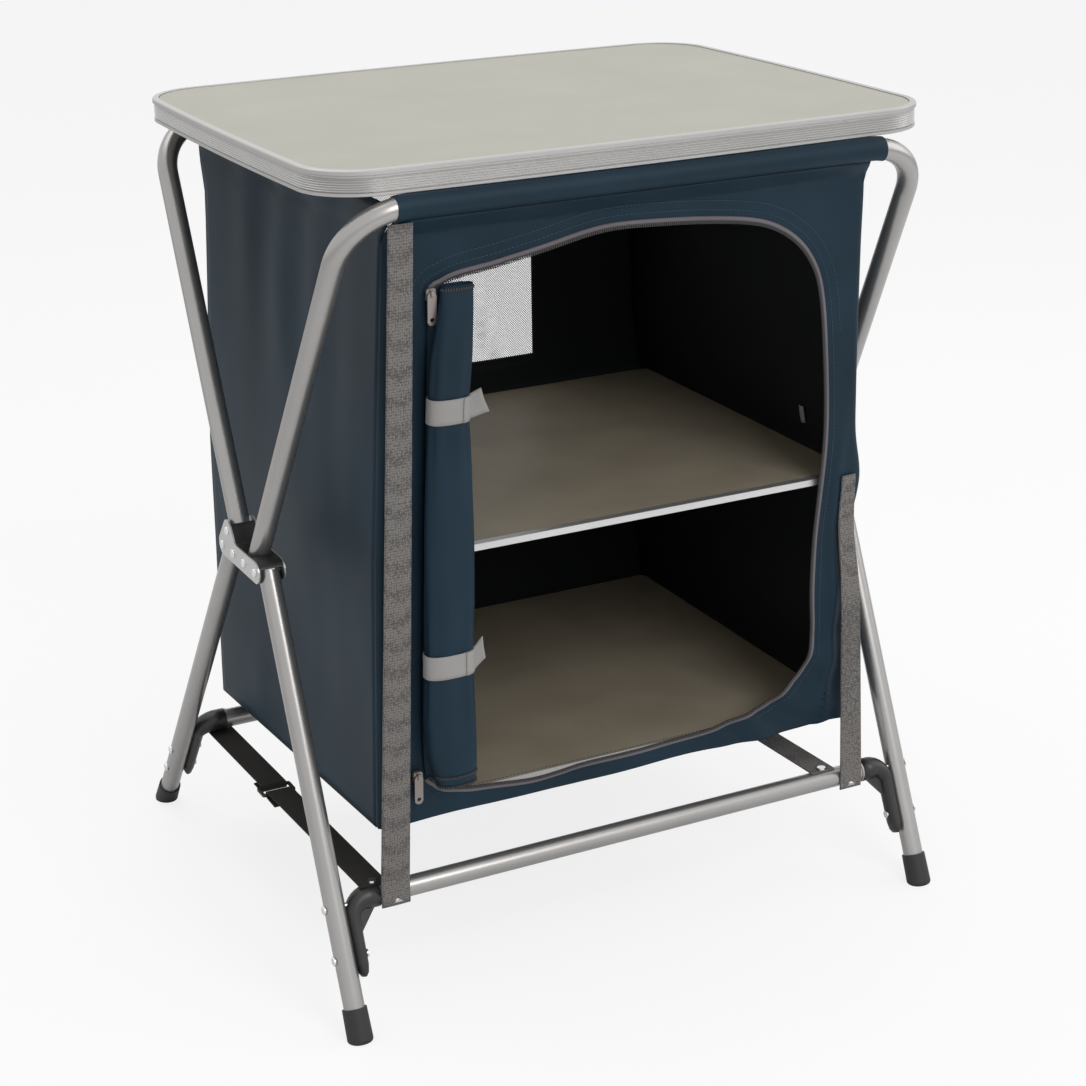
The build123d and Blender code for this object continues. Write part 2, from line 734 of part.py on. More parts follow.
def front_y(height):
    """Where the front panel's outside lies at one height."""
    share = (height - CABINET_LOW_Z) / (PANEL_TOP_Z - CABINET_LOW_Z)
    return FRONT_LOW_Y + share * (FRONT_TOP_Y - FRONT_LOW_Y)


def back_y(height):
    """Where the back panel's inside lies at one height."""
    share = (height - CABINET_LOW_Z) / (PANEL_TOP_Z - CABINET_LOW_Z)
    return BACK_LOW_Y + share * (BACK_TOP_Y - BACK_LOW_Y)


def half_width(height):
    """Half the cabinet's width at one height: the shelf pushes the walls out."""
    if height < MID_SHELF_TOP:
        share = (height - CABINET_LOW_Z) / (MID_SHELF_TOP - CABINET_LOW_Z)
        return CABINET_LOW_HALF + share * (CABINET_MID_HALF - CABINET_LOW_HALF)
    share = (height - MID_SHELF_TOP) / (PANEL_TOP_Z - MID_SHELF_TOP)
    return CABINET_MID_HALF + share * (CABINET_TOP_HALF - CABINET_MID_HALF)


def front_plane():
    """Plane of the front panel: its x runs along X and its y up the panel."""
    return Plane(
        origin=(0, FRONT_LOW_Y, CABINET_LOW_Z),
        x_dir=(1, 0, 0),
        z_dir=(0, CABINET_LOW_Z - PANEL_TOP_Z, FRONT_TOP_Y - FRONT_LOW_Y),
    )


def panel_height(height):
    """Distance up the front panel for a height above the floor."""
    slant = math.hypot(PANEL_TOP_Z - CABINET_LOW_Z, FRONT_TOP_Y - FRONT_LOW_Y)
    return (height - CABINET_LOW_Z) * slant / (PANEL_TOP_Z - CABINET_LOW_Z)


def wall_block(low):
    """Front-view outline of the front and back walls, made solid along Y."""
    right = [(half_width(z), z) for z in (low, MID_SHELF_TOP, PANEL_TOP_Z)]
    right.append((HEM_HALF, sleeve_low()))
    left = [(-x, z) for x, z in reversed(right)]
    return extrude(Plane.XZ * Polygon(*right, *left, align=None), amount=BOX_REACH * 2, both=True)


def door_outline(grow):
    """The zip's line on the front plane: arched on top, round on the right."""
    left = DOOR_LEFT_X
    right = DOOR_RIGHT_X
    low = panel_height(DOOR_LOW_Z)
    left_top = panel_height(DOOR_LEFT_TOP_Z)
    crest = panel_height(DOOR_CREST_Z)
    shoulder = panel_height(DOOR_SHOULDER_Z)
    shape = make_face(
        Polyline(
            (left, low),
            (left, left_top),
            (DOOR_CREST_X, crest),
            (right, shoulder),
            (right, low),
            close=True,
        )
    )
    rounds = (
        ((right, shoulder), DOOR_TOP_RADIUS),
        ((right, low), DOOR_LOW_RADIUS),
        ((left, low), DOOR_HINGE_RADIUS),
        ((DOOR_CREST_X, crest), DOOR_CREST_RADIUS),
    )
    for place, radius in rounds:
        corner = shape.vertices().sort_by_distance((place[0], place[1], 0))[0]
        shape = fillet(corner, radius)
    if grow != 0:
        shape = offset(shape, grow)
    return shape


def fabric_front():
    """Front wall with the door opening and a hem that runs forward to the front bar."""
    low_y = front_y(CABINET_LOW_Z)
    outline = Polyline(
        (low_y, CABINET_LOW_Z),
        (FRONT_TOP_Y, PANEL_TOP_Z),
        (FRONT_BAR_Y, sleeve_low()),
        (FRONT_BAR_Y + CLOTH, sleeve_low()),
        (FRONT_TOP_Y + CLOTH, PANEL_TOP_Z),
        (low_y + CLOTH, CABINET_LOW_Z),
        close=True,
    )
    wall = side_sketch(make_face(outline), -2 * BOX_REACH, 2 * BOX_REACH)
    door = extrude(front_plane() * door_outline(0), amount=BEND_RADIUS / 3, both=True)
    return (wall & wall_block(CABINET_LOW_Z)) - door


def fabric_back():
    """Back wall with a window hole and a hem that runs rearward to the rear bar."""
    low_y = back_y(SIDE_BACK_LOW_Z)
    outline = Polyline(
        (low_y, SIDE_BACK_LOW_Z),
        (BACK_TOP_Y, PANEL_TOP_Z),
        (REAR_BAR_Y, sleeve_low()),
        (REAR_BAR_Y + CLOTH, sleeve_low()),
        (BACK_TOP_Y + CLOTH, PANEL_TOP_Z),
        (low_y + CLOTH, SIDE_BACK_LOW_Z),
        close=True,
    )
    wall = side_sketch(make_face(outline), -2 * BOX_REACH, 2 * BOX_REACH)
    window = Pos(0, BACK_LOW_Y, (WINDOW_LOW_Z + WINDOW_TOP_Z) / 2) * Box(
        2 * (WINDOW_HALF_WIDTH + SEAT_GAP),
        2 * BEND_RADIUS,
        WINDOW_TOP_Z - WINDOW_LOW_Z + 2 * SEAT_GAP,
    )
    return (wall & wall_block(SIDE_BACK_LOW_Z)) - window


def mesh_window():
    """Net in the window: a thin sheet with a grid of gaps."""
    width = 2 * WINDOW_HALF_WIDTH
    height = WINDOW_TOP_Z - WINDOW_LOW_Z
    pitch_x = (width - MESH_STRAND) / MESH_COLUMNS
    pitch_z = (height - MESH_STRAND) / MESH_ROWS
    gap = Rectangle(pitch_x - MESH_STRAND, pitch_z - MESH_STRAND)
    gaps = [
        place * gap.wire()
        for place in GridLocations(pitch_x, pitch_z, MESH_COLUMNS, MESH_ROWS).locations
    ]
    net = extrude(Face(Rectangle(width, height).wire(), gaps), amount=MESH_THICKNESS)
    centre_z = (WINDOW_LOW_Z + WINDOW_TOP_Z) / 2
    middle_y = back_y(centre_z) + (CLOTH + MESH_THICKNESS) / 2
    plane = Plane(
        origin=(0, middle_y, centre_z),
        x_dir=(1, 0, 0),
        z_dir=(0, CABINET_LOW_Z - PANEL_TOP_Z, BACK_TOP_Y - BACK_LOW_Y),
    )
    return plane * net


def fabric_side():
    """Right side wall between the front and the back panel."""
    heights = (SIDE_BACK_LOW_Z, MID_SHELF_TOP, PANEL_TOP_Z)
    outside = [(half_width(z), z) for z in heights]
    inside = [(x - CLOTH, z) for x, z in reversed(outside)]
    wall = extrude(
        Plane.XZ * Polygon(*outside, *inside, align=None), amount=BOX_REACH * 2, both=True
    )
    room = CLOTH + SEAT_GAP
    outline = Polyline(
        (front_y(SIDE_FRONT_LOW_Z) + room, SIDE_FRONT_LOW_Z),
        (back_y(SIDE_BACK_LOW_Z) - SEAT_GAP, SIDE_BACK_LOW_Z),
        (back_y(PANEL_TOP_Z) - SEAT_GAP, PANEL_TOP_Z),
        (front_y(PANEL_TOP_Z) + room, PANEL_TOP_Z),
        close=True,
    )
    return wall & side_sketch(make_face(outline), 0, 2 * BOX_REACH)


def fabric_bottom():
    top = BASE_TOP - SHELF_THICKNESS / 2 - EDGE_HEIGHT / 2 - SEAT_GAP
    front = front_y(top) + CLOTH + SEAT_GAP
    back = back_y(top) - SEAT_GAP
    sheet = Rectangle(2 * (half_width(top) - CLOTH - SEAT_GAP), back - front)
    return extrude(Pos(0, (back + front) / 2, top - CLOTH) * sheet, amount=CLOTH)


def zip_tape():
    """Zip band round the door opening, open along the side where the door is sewn on."""
    band = door_outline(ZIP_WIDTH / 2) - door_outline(-ZIP_WIDTH / 2)
    low = panel_height(LOWER_SLIDER_XZ[1] - SLIDER_LENGTH / 2)
    top = panel_height(UPPER_SLIDER_XZ[1] + SLIDER_LENGTH / 2)
    band -= Pos(DOOR_LEFT_X, (low + top) / 2) * Rectangle(4 * ZIP_WIDTH, top - low)
    return extrude(front_plane().offset(SEAT_GAP) * band, amount=ZIP_THICKNESS)


def roll_section(width, depth):
    return RectangleRounded(width, depth, depth / 2 - 0.5)


def roll_centre_y(height):
    return front_y(height) - SEAT_GAP - CLOTH - ROLL_DEPTH / 2 + 0.5


def roll_piece(levels):
    """Upright stack of rounded sections (height, width, depth) that leans with the panel."""
    return loft(
        [
            Pos(ROLL_X, roll_centre_y(height), height) * roll_section(width, depth)
            for height, width, depth in levels
        ],
        ruled=True,
    )


def rolled_door():
    """The door, rolled up to the left, drawn in by its two straps and sewn on by a flap."""
    neck = BAND_HEIGHT / 2 + 1.0
    between = (LOWER_BAND_Z + UPPER_BAND_Z) / 2
    swells = [
        (ROLL_LOW_Z, 1.0),
        (LOWER_BAND_Z - 60, 2.0),
        (LOWER_BAND_Z - neck, -ROLL_WAIST),
        (LOWER_BAND_Z + neck, -ROLL_WAIST),
        (LOWER_BAND_Z + 60, 1.0),
        (between, 2.0),
        (UPPER_BAND_Z - 60, 1.0),
        (UPPER_BAND_Z - neck, -ROLL_WAIST),
        (UPPER_BAND_Z + neck, -ROLL_WAIST),
        (UPPER_BAND_Z + 50, 0.0),
        (ROLL_TOP_Z, -2.0),
    ]
    levels = [(z, ROLL_WIDTH + swell, ROLL_DEPTH + swell / 2) for z, swell in swells]
    low = panel_height(LOWER_SLIDER_XZ[1] + SLIDER_LENGTH)
    high = panel_height(UPPER_SLIDER_XZ[1] - TAB_LENGTH)
    flap = Pos(DOOR_LEFT_X - 8.0, low) * Rectangle(
        ROLL_X - DOOR_LEFT_X + 8.0, high - low, align=(Align.MIN, Align.MIN)
    )
    for height in (LOWER_BAND_Z, UPPER_BAND_Z):
        flap -= Pos(ROLL_X, panel_height(height)) * Rectangle(
            ROLL_WIDTH + ROLL_WAIST + 6.0, BAND_HEIGHT + 4.0
        )
    return roll_piece(levels) + extrude(front_plane().offset(SEAT_GAP) * flap, amount=CLOTH)


def roll_band(height):
    """Hook-and-loop strap round the rolled door, with a short free tail on the right."""
    half = BAND_HEIGHT / 2
    width = ROLL_WIDTH - ROLL_WAIST + 2 * SEAT_GAP
    depth = ROLL_DEPTH - ROLL_WAIST / 2 + 2 * SEAT_GAP
    wall = 2 * BAND_THICKNESS
    outer = roll_piece([(height + z, width + wall, depth + wall) for z in (-half, half)])
    inner = roll_piece([(height + z, width, depth) for z in (-half - 0.5, half + 0.5)])
    tail = Box(
        BAND_TAIL, BAND_THICKNESS, BAND_HEIGHT - 2.0, align=(Align.MIN, Align.CENTER, Align.CENTER)
    )
    tail_x = ROLL_X + width / 2 + BAND_THICKNESS / 2
    return (outer - inner) + Pos(tail_x, roll_centre_y(height) - depth / 4, height) * tail


def on_panel(place):
    """Frame on the front of the zip at (x, z), turned to lie along the panel."""
    x, z = place
    lean = math.degrees(math.atan2(FRONT_LOW_Y - FRONT_TOP_Y, PANEL_TOP_Z - CABINET_LOW_Z))
    return Pos(x, front_y(z), z) * Rot(lean, 0, 0)


def zip_slider(place):
    """Slider body with a low bridge over the top edge of the tab."""
    middle = -2 * SEAT_GAP - ZIP_THICKNESS - SLIDER_THICKNESS / 2
    body = Pos(0, middle, 0) * Box(SLIDER_WIDTH, SLIDER_THICKNESS, SLIDER_LENGTH)
    body = fillet(body.edges().filter_by(Axis.Y), 2.5)
    face = middle - SLIDER_THICKNESS / 2
    for post_z in (0.0, 4.2):
        body += Pos(0, face - 1.1, post_z) * Box(2.2, 2.4, 1.2)
    body += Pos(0, face - 2.7, 2.1) * Box(2.2, 1.0, 5.4)
    return on_panel(place) * body


def tab_height():
    """Distance of the tab's middle plane from the front panel."""
    return 2 * SEAT_GAP + ZIP_THICKNESS + SLIDER_THICKNESS + 1.1


def pull_tab(place):
    """Flat tab held by the slider's bridge, with a round hole near its free end."""
    blade = Pos(0, -TAB_LENGTH / 2 + 3.0) * RectangleRounded(
        TAB_WIDTH, TAB_LENGTH, TAB_WIDTH / 2 - 0.2
    )
    blade -= Pos(0, -TAB_LENGTH + TAB_WIDTH / 2 + 3.8) * Circle(TAB_HOLE_RADIUS)
    blade -= Rectangle(2.8, 3.0)
    tab = extrude(Plane.XZ * blade, amount=TAB_THICKNESS / 2, both=True)
    return on_panel(place) * Pos(0, -tab_height(), 0) * tab


def tab_pivot(place):
    """Axis point of a pull tab."""
    spot = on_panel(place) * Pos(0, -tab_height(), 2.25)
    return (spot.position.X, spot.position.Y, spot.position.Z)


def ribbon(line, x_centre, width, thickness=WEB_THICKNESS):
    """Webbing: a side-view line given its thickness and drawn out along X."""
    return side_sketch(trace(line, thickness), x_centre - width / 2, x_centre + width / 2)


def on_ring(centre, radius, angle):
    """The (y, z) point of a circle at an angle from +Y towards +Z."""
    turn = math.radians(angle)
    return (centre[0] + radius * math.cos(turn), centre[1] + radius * math.sin(turn))


def touch_angle(point, centre, radius, side):
    """Angle at which a line from a point touches a circle, on the side asked for."""
    base = angle_of(centre, point)
    return base + side * math.degrees(math.acos(radius / math.dist(point, centre)))


def wrapped(point, centre, radius, side, end_angle):
    """Line from a point to a circle, then round the circle to an angle."""
    first = touch_angle(point, centre, radius, side)
    start = on_ring(centre, radius, first)
    middle = on_ring(centre, radius, (first + end_angle) / 2)
    end = on_ring(centre, radius, end_angle)
    return Line(point, start) + ThreePointArc(start, middle, end)


def strap(x_low, x_top, top_z):
    """Vertical strap: down in front of the panel and round the front of the bottom bar."""
    bar = front_bottom_bar()
    clear = SEAT_GAP + WEB_THICKNESS / 2
    knee = (front_y(CABINET_LOW_Z) - clear, CABINET_LOW_Z)
    radius = TUBE_RADIUS + clear
    lower = ribbon(wrapped(knee, bar, radius, 1, STRAP_END_ANGLE), x_low, STRAP_WIDTH)
    half = STRAP_WIDTH / 2
    low = -WEB_THICKNESS / 3
    top = panel_height(top_z)
    hanging = Polygon(
        (x_low - half, low), (x_low + half, low), (x_top + half, top), (x_top - half, top),
        align=None,
    )
    upper = extrude(front_plane().offset(SEAT_GAP) * hanging, amount=WEB_THICKNESS)
    return upper + lower


def buckle_place():
    """Middle of the buckle in the left floor web."""
    front = front_bottom_bar()
    rear = rear_bottom_bar()
    share = (BUCKLE_Y - front[0]) / (rear[0] - front[0])
    reach = ELBOW_SOCKET_RADIUS
    height = front[1] + reach + share * (rear[1] - front[1] - 2 * reach) - WEB_SAG
    return (BUCKLE_Y, height)


def web_loop(side):
    """Where the left web turns round its bar of the buckle: centre of the wire and radius."""
    middle = buckle_place()
    wire = (middle[0] + side * (BUCKLE_LENGTH - BUCKLE_WIRE) / 2, middle[1])
    return wire, BUCKLE_WIRE * math.sqrt(0.5) + SEAT_GAP + WEB_THICKNESS / 2


def left_web_part(side, bar, bar_side, end_angle):
    """One half of the left floor web, from its bottom bar to the buckle and a little back."""
    wire, loop = web_loop(side)
    top = (wire[0], wire[1] + loop)
    turn = (wire[0] - side * loop, wire[1])
    under = (wire[0], wire[1] - loop)
    tail = (wire[0] + side * BUCKLE_TAIL, wire[1] - loop - 0.5)
    reach = ELBOW_SOCKET_RADIUS + SEAT_GAP + WEB_THICKNESS / 2
    line = wrapped(top, bar, reach, bar_side, end_angle)
    line += ThreePointArc(top, turn, under)
    line += Line(under, tail)
    return ribbon(line, LEFT_WEB_X, STRAP_WIDTH)


def right_floor_web():
    """Right floor web: over the front bar, straight back and under the rear bar."""
    front = front_bottom_bar()
    rear = rear_bottom_bar()
    reach = TUBE_RADIUS + SEAT_GAP + WEB_THICKNESS / 2
    middle = ((front[0] + rear[0]) / 2, (front[1] + rear[1]) / 2 - WEB_SAG)
    line = wrapped(middle, front, reach, 1, 90.0 + WEB_END_ANGLE)
    line += wrapped(middle, rear, reach, 1, -90.0 + WEB_END_ANGLE)
    return ribbon(line, RIGHT_WEB_X, STRAP_WIDTH)


def floor_web_buckle():
    """Oblong ring that joins the two halves of the left floor web."""
    place = buckle_place()
    outer = RectangleRounded(STRAP_WIDTH + 9.0, BUCKLE_LENGTH, 2.5)
    inner = RectangleRounded(
        STRAP_WIDTH + 9.0 - 2 * BUCKLE_WIRE, BUCKLE_LENGTH - 2 * BUCKLE_WIRE, 1.0
    )
    ring = extrude(outer - inner, amount=BUCKLE_WIRE / 2 - 0.2, both=True)
    return Pos(LEFT_WEB_X, place[0], place[1]) * ring


def pins():
    """Rivets of the straps and webs: x, bar, angle round the bar, radius they hold down."""
    front = front_bottom_bar()
    rear = rear_bottom_bar()
    cloth = 2 * SEAT_GAP + WEB_THICKNESS
    over = 90.0 + WEB_RIVET_ANGLE
    under = -90.0 + WEB_RIVET_ANGLE
    return {
        "left_strap": (LEFT_STRAP_X, front, STRAP_RIVET_ANGLE, TUBE_RADIUS + cloth),
        "right_strap": (RIGHT_STRAP_X, front, STRAP_RIVET_ANGLE, TUBE_RADIUS + cloth),
        "left_web_front": (LEFT_WEB_X, front, over, ELBOW_SOCKET_RADIUS + cloth + SEAT_GAP),
        "left_web_rear": (LEFT_WEB_X, rear, under, ELBOW_SOCKET_RADIUS + cloth + SEAT_GAP),
        "right_web_front": (RIGHT_WEB_X, front, over, TUBE_RADIUS + cloth + SEAT_GAP),
        "right_web_rear": (RIGHT_WEB_X, rear, under, TUBE_RADIUS + cloth + SEAT_GAP),
    }


def pin_rod(pin, start, end, radius):
    x, bar, angle, _ = pins()[pin]
    low = on_ring(bar, start, angle)
    high = on_ring(bar, end, angle)
    return rod((x, low[0], low[1]), (x, high[0], high[1]), radius)


def strap_rivets(end):
    """One rivet through each strap and web end at the front or the rear bottom bar."""
    inside = TUBE_RADIUS - TUBE_WALL - 0.6
    bars = {"front": front_bottom_bar(), "rear": rear_bottom_bar()}
    rivets = []
    for pin, (_, bar, _, hold) in pins().items():
        if bar == bars[end]:
            head = pin_rod(pin, hold, hold + RIVET_HEAD_HEIGHT, RIVET_HEAD_RADIUS)
            rivets.append(pin_rod(pin, inside, hold + 1, RIVET_RADIUS) + head)
    return rivets


def drilled(shape, *names):
    """The shape with a hole for each named rivet."""
    for pin in names:
        shape = shape - pin_rod(pin, 0, 2 * TUBE_RADIUS, RIVET_RADIUS + RUNNING_CLEARANCE)
    return shape


def build_parts():
    """Every piece by its name."""
    parts = {}
    front_bar = front_bottom_bar()
    rear_bar = rear_bottom_bar()
    ends = (
        ("front", "front_lower", FRONT_FOOT, front_bar, FRONT_FLANGE_LENGTH, FRONT_RIVET_DROPS),
        ("rear", "rear_lower", REAR_FOOT, rear_bar, REAR_FLANGE_LENGTH, REAR_RIVET_DROPS),
    )
    for end, pivot_name, foot, bar, flange, drops in ends:
        pivot = HUB_ROW[pivot_name]
        right = {
            "leg": lower_leg(pivot, foot, drops, bar),
            "elbow": elbow(bar, foot, flange, drops, end == "front"),
            "foot_cap": foot_cap(pivot, foot),
        }
        for kind, solid in right.items():
            parts[f"{end}_right_{kind}"] = solid
            parts[f"{end}_left_{kind}"] = mirrored(solid)
        parts[f"{end}_elbow_rivets"] = elbow_rivets(bar, foot, drops)
        webs = (f"left_web_{end}", f"right_web_{end}")
        parts[f"{end}_left_elbow"] = drilled(parts[f"{end}_left_elbow"], webs[0])
        parts[f"{end}_bottom_bar"] = drilled(bottom_bar(bar), *webs)
    parts["front_bottom_bar"] = drilled(parts["front_bottom_bar"], "left_strap", "right_strap")
    rear_hub_x = LEG_PLANE_X + SPLAY_SHIFT
    parts["rear_upper_tube"] = upper_frame(
        HUB_ROW["rear_upper"], REAR_BAR, rear_hub_x, [HUB_ROW["rear_upper"], fixing_rivet()]
    )
    parts["front_upper_tube"] = upper_frame(
        HUB_ROW["front_upper"], FRONT_BAR, LEG_PLANE_X, [HUB_ROW["front_upper"]]
    )
    hub = {
        "outer_plate": hub_plate(LEG_PLANE_X + HUB_CORE_HALF),
        "inner_plate": hub_plate(LEG_PLANE_X - HUB_CORE_HALF - PLATE_THICKNESS),
        "block": hub_block(),
    }
    for kind, solid in hub.items():
        parts[f"right_hub_{kind}"] = solid
        parts[f"left_hub_{kind}"] = mirrored(solid)
    rivets = hub_rivets()
    parts["right_hub_rivets"] = rivets
    parts["left_hub_rivets"] = [mirrored(one) for one in rivets]
    parts["tabletop_rim"] = tabletop_rim()
    parts["tabletop_panel"] = tabletop_panel()
    parts["tabletop_clips"] = tabletop_clips()
    parts["clip_screws"] = clip_screws()
    parts["mid_shelf_board"] = shelf_board(*mid_shelf_span(), MID_SHELF_TOP)
    parts["mid_shelf_front_edge"] = shelf_front_edge(mid_shelf_span()[0], MID_SHELF_TOP)
    parts["base_board"] = shelf_board(*base_span(), BASE_TOP)
    parts["base_front_edge"] = shelf_front_edge(base_span()[0], BASE_TOP)
    parts["front_sleeve"] = sleeve(HUB_ROW["front_upper"], FRONT_BAR, LEG_PLANE_X)
    parts["rear_sleeve"] = sleeve(HUB_ROW["rear_upper"], REAR_BAR, rear_hub_x)
    parts["fabric_front"] = fabric_front()
    parts["fabric_back"] = fabric_back()
    side = fabric_side()
    parts["fabric_right_side"] = side
    parts["fabric_left_side"] = mirrored(side)
    parts["fabric_bottom"] = fabric_bottom()
    parts["mesh_window"] = mesh_window()
    parts["zip_tape"] = zip_tape()
    parts["rolled_door"] = rolled_door()
    parts["upper_roll_strap"] = roll_band(UPPER_BAND_Z)
    parts["lower_roll_strap"] = roll_band(LOWER_BAND_Z)
    parts["upper_zip_slider"] = zip_slider(UPPER_SLIDER_XZ)
    parts["lower_zip_slider"] = zip_slider(LOWER_SLIDER_XZ)
    parts["upper_pull_tab"] = pull_tab(UPPER_SLIDER_XZ)
    parts["lower_pull_tab"] = pull_tab(LOWER_SLIDER_XZ)
    left_strap = strap(LEFT_STRAP_X, LEFT_STRAP_TOP_X, PANEL_TOP_Z)
    right_strap = strap(RIGHT_STRAP_X, RIGHT_STRAP_TOP_X, RIGHT_STRAP_TOP_Z)
    parts["left_vertical_strap"] = drilled(left_strap, "left_strap")
    parts["right_vertical_strap"] = drilled(right_strap, "right_strap")
    front_web = left_web_part(-1, front_bar, 1, 90.0 + WEB_END_ANGLE)
    rear_web = left_web_part(1, rear_bar, 1, -90.0 + WEB_END_ANGLE)
    parts["left_front_floor_web"] = drilled(front_web, "left_web_front")
    parts["left_rear_floor_web"] = drilled(rear_web, "left_web_rear")
    parts["right_floor_web"] = drilled(right_floor_web(), "right_web_front", "right_web_rear")
    parts["floor_web_buckle"] = floor_web_buckle()
    parts["front_strap_rivets"] = strap_rivets("front")
    parts["rear_strap_rivets"] = strap_rivets("rear")
    return parts


def board_pivot(front, back, top_z, hang, lift):
    """Point about which a shelf board turns from level to lying along the folded frame."""
    fold = math.radians(fold_line())
    rest = ((front + back) / 2, top_z - SHELF_THICKNESS / 2)
    place = (
        REAR_BAR_Y - hang * math.cos(fold) + lift * math.sin(fold),
        UPPER_BAR_Z - hang * math.sin(fold) - lift * math.cos(fold),
    )
    reach = 0.5 / math.tan(fold / 2)
    return (
        (rest[0] + place[0]) / 2 - reach * (place[1] - rest[1]),
        (rest[1] + place[1]) / 2 + reach * (place[0] - rest[0]),
    )


def print_motion():
    """Pivots and ranges of the fold, for the record."""
    folded = fold_line()
    swings = {
        "rear_lower": folded - 180.0 - angle_of(HUB_ROW["rear_lower"], REAR_FOOT),
        "front_upper": folded - angle_of(HUB_ROW["front_upper"], FRONT_BAR),
        "front_lower": folded - 180.0 - angle_of(HUB_ROW["front_lower"], FRONT_FOOT),
    }
    for name, swing in swings.items():
        print(f"{name} pivot {HUB_ROW[name]} swing {swing:.3f} ratio {swing / swings['rear_lower']:.5f}")
    print(f"boards swing {folded:.3f} ratio {folded / swings['rear_lower']:.5f}")
    mid = board_pivot(*mid_shelf_span(), MID_SHELF_TOP, MID_HANG, MID_LIFT)
    base = board_pivot(*base_span(), BASE_TOP, BASE_HANG, BASE_LIFT)
    print(f"mid shelf pivot {mid[0]:.3f} {mid[1]:.3f}")
    print(f"base pivot {base[0]:.3f} {base[1]:.3f}")
    print(f"upper tab pivot {tab_pivot(UPPER_SLIDER_XZ)}")
    print(f"lower tab pivot {tab_pivot(LOWER_SLIDER_XZ)}")
    print(f"front bottom bar {front_bottom_bar()} rear bottom bar {rear_bottom_bar()}")


def write_parts():
    os.makedirs("parts", exist_ok=True)
    for name, shape in build_parts().items():
        solids = shape if isinstance(shape, list) else [shape]
        found = [solid for item in solids for solid in item.solids()]
        result = found[0] if len(found) == 1 else Compound(children=found)
        export_step(result, f"parts/{name}.step")


write_parts()
print_motion()
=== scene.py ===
import math

import bpy
import numpy as np
from mathutils import Matrix, Vector, noise


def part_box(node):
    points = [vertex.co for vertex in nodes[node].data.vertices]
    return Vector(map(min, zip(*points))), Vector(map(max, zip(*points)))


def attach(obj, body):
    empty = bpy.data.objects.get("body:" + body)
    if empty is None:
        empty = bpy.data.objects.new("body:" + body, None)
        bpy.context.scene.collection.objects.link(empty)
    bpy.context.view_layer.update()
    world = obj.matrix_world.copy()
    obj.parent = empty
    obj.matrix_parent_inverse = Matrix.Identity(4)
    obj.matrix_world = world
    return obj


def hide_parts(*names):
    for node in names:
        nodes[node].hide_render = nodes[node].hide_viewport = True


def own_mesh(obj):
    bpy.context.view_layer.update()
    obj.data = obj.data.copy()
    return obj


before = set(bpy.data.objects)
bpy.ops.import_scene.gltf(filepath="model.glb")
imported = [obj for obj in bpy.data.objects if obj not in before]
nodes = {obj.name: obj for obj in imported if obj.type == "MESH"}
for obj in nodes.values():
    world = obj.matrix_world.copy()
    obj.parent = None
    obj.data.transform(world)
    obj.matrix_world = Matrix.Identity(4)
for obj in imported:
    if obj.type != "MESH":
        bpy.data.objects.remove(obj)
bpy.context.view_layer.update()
SIDES = (("left", -1), ("right", 1))
LEG_CORNERS = ("front_left", "front_right", "rear_left", "rear_right")

# Tubes and bars
# Two bent upper tubes, four straight legs and two bottom bars of 20 mm tube in a satin grey
# paint. Their solids are right as they are and only get their finish.
TUBE_GREY = (0.39, 0.38, 0.37)
TONE_STOPS = (0.3, 0.7)
PATCH_SCALE = 14.0
DARK_SHARE = 0.94


def new_finish(name, colour, rough, metal=0.0, specular=0.5):
    mat = bpy.data.materials.new(name)
    mat.use_nodes = True
    shader = mat.node_tree.nodes["Principled BSDF"]
    shader.inputs["Base Color"].default_value = (*colour, 1.0)
    shader.inputs["Roughness"].default_value = rough
    shader.inputs["Metallic"].default_value = metal
    shader.inputs["Specular IOR Level"].default_value = specular
    mat.diffuse_color = (*colour, 1.0)
    return mat, shader


def object_place(mat, scale=(1.0, 1.0, 1.0)):
    tree = mat.node_tree
    coords = tree.nodes.new("ShaderNodeTexCoord")
    mapping = tree.nodes.new("ShaderNodeMapping")
    mapping.inputs["Scale"].default_value = scale
    tree.links.new(coords.outputs["Object"], mapping.inputs["Vector"])
    return mapping.outputs["Vector"]


def cloudy(mat, place, scale, detail=3.0):
    node = mat.node_tree.nodes.new("ShaderNodeTexNoise")
    node.inputs["Scale"].default_value = scale
    node.inputs["Detail"].default_value = detail
    mat.node_tree.links.new(place, node.inputs["Vector"])
    return node.outputs[0]


def two_tones(mat, shader, factor, low, high):
    """Base colour that runs between two tones."""
    ramp = mat.node_tree.nodes.new("ShaderNodeValToRGB")
    for stop, position, colour in zip(ramp.color_ramp.elements, TONE_STOPS, (low, high)):
        stop.position = position
        stop.color = (*colour, 1.0)
    mat.node_tree.links.new(factor, ramp.inputs["Fac"])
    mat.node_tree.links.new(ramp.outputs["Color"], shader.inputs["Base Color"])


def relief(mat, shader, height, strength, distance):
    bump = mat.node_tree.nodes.new("ShaderNodeBump")
    bump.inputs["Strength"].default_value = strength
    bump.inputs["Distance"].default_value = distance
    mat.node_tree.links.new(height, bump.inputs["Height"])
    mat.node_tree.links.new(bump.outputs["Normal"], shader.inputs["Normal"])


def grained(name, colour, rough, metal=0.0, grain=900.0):
    """A finish with slight tone changes and a fine grain."""
    mat, shader = new_finish(name, colour, rough, metal)
    place = object_place(mat)
    dark = tuple(c * DARK_SHARE for c in colour)
    two_tones(mat, shader, cloudy(mat, place, PATCH_SCALE), dark, colour)
    relief(mat, shader, cloudy(mat, place, grain, 1.0), strength=0.06, distance=0.0003)
    return mat


def dress(mat, *names):
    for name in names:
        data = nodes[name].data
        data.materials.clear()
        data.materials.append(mat)


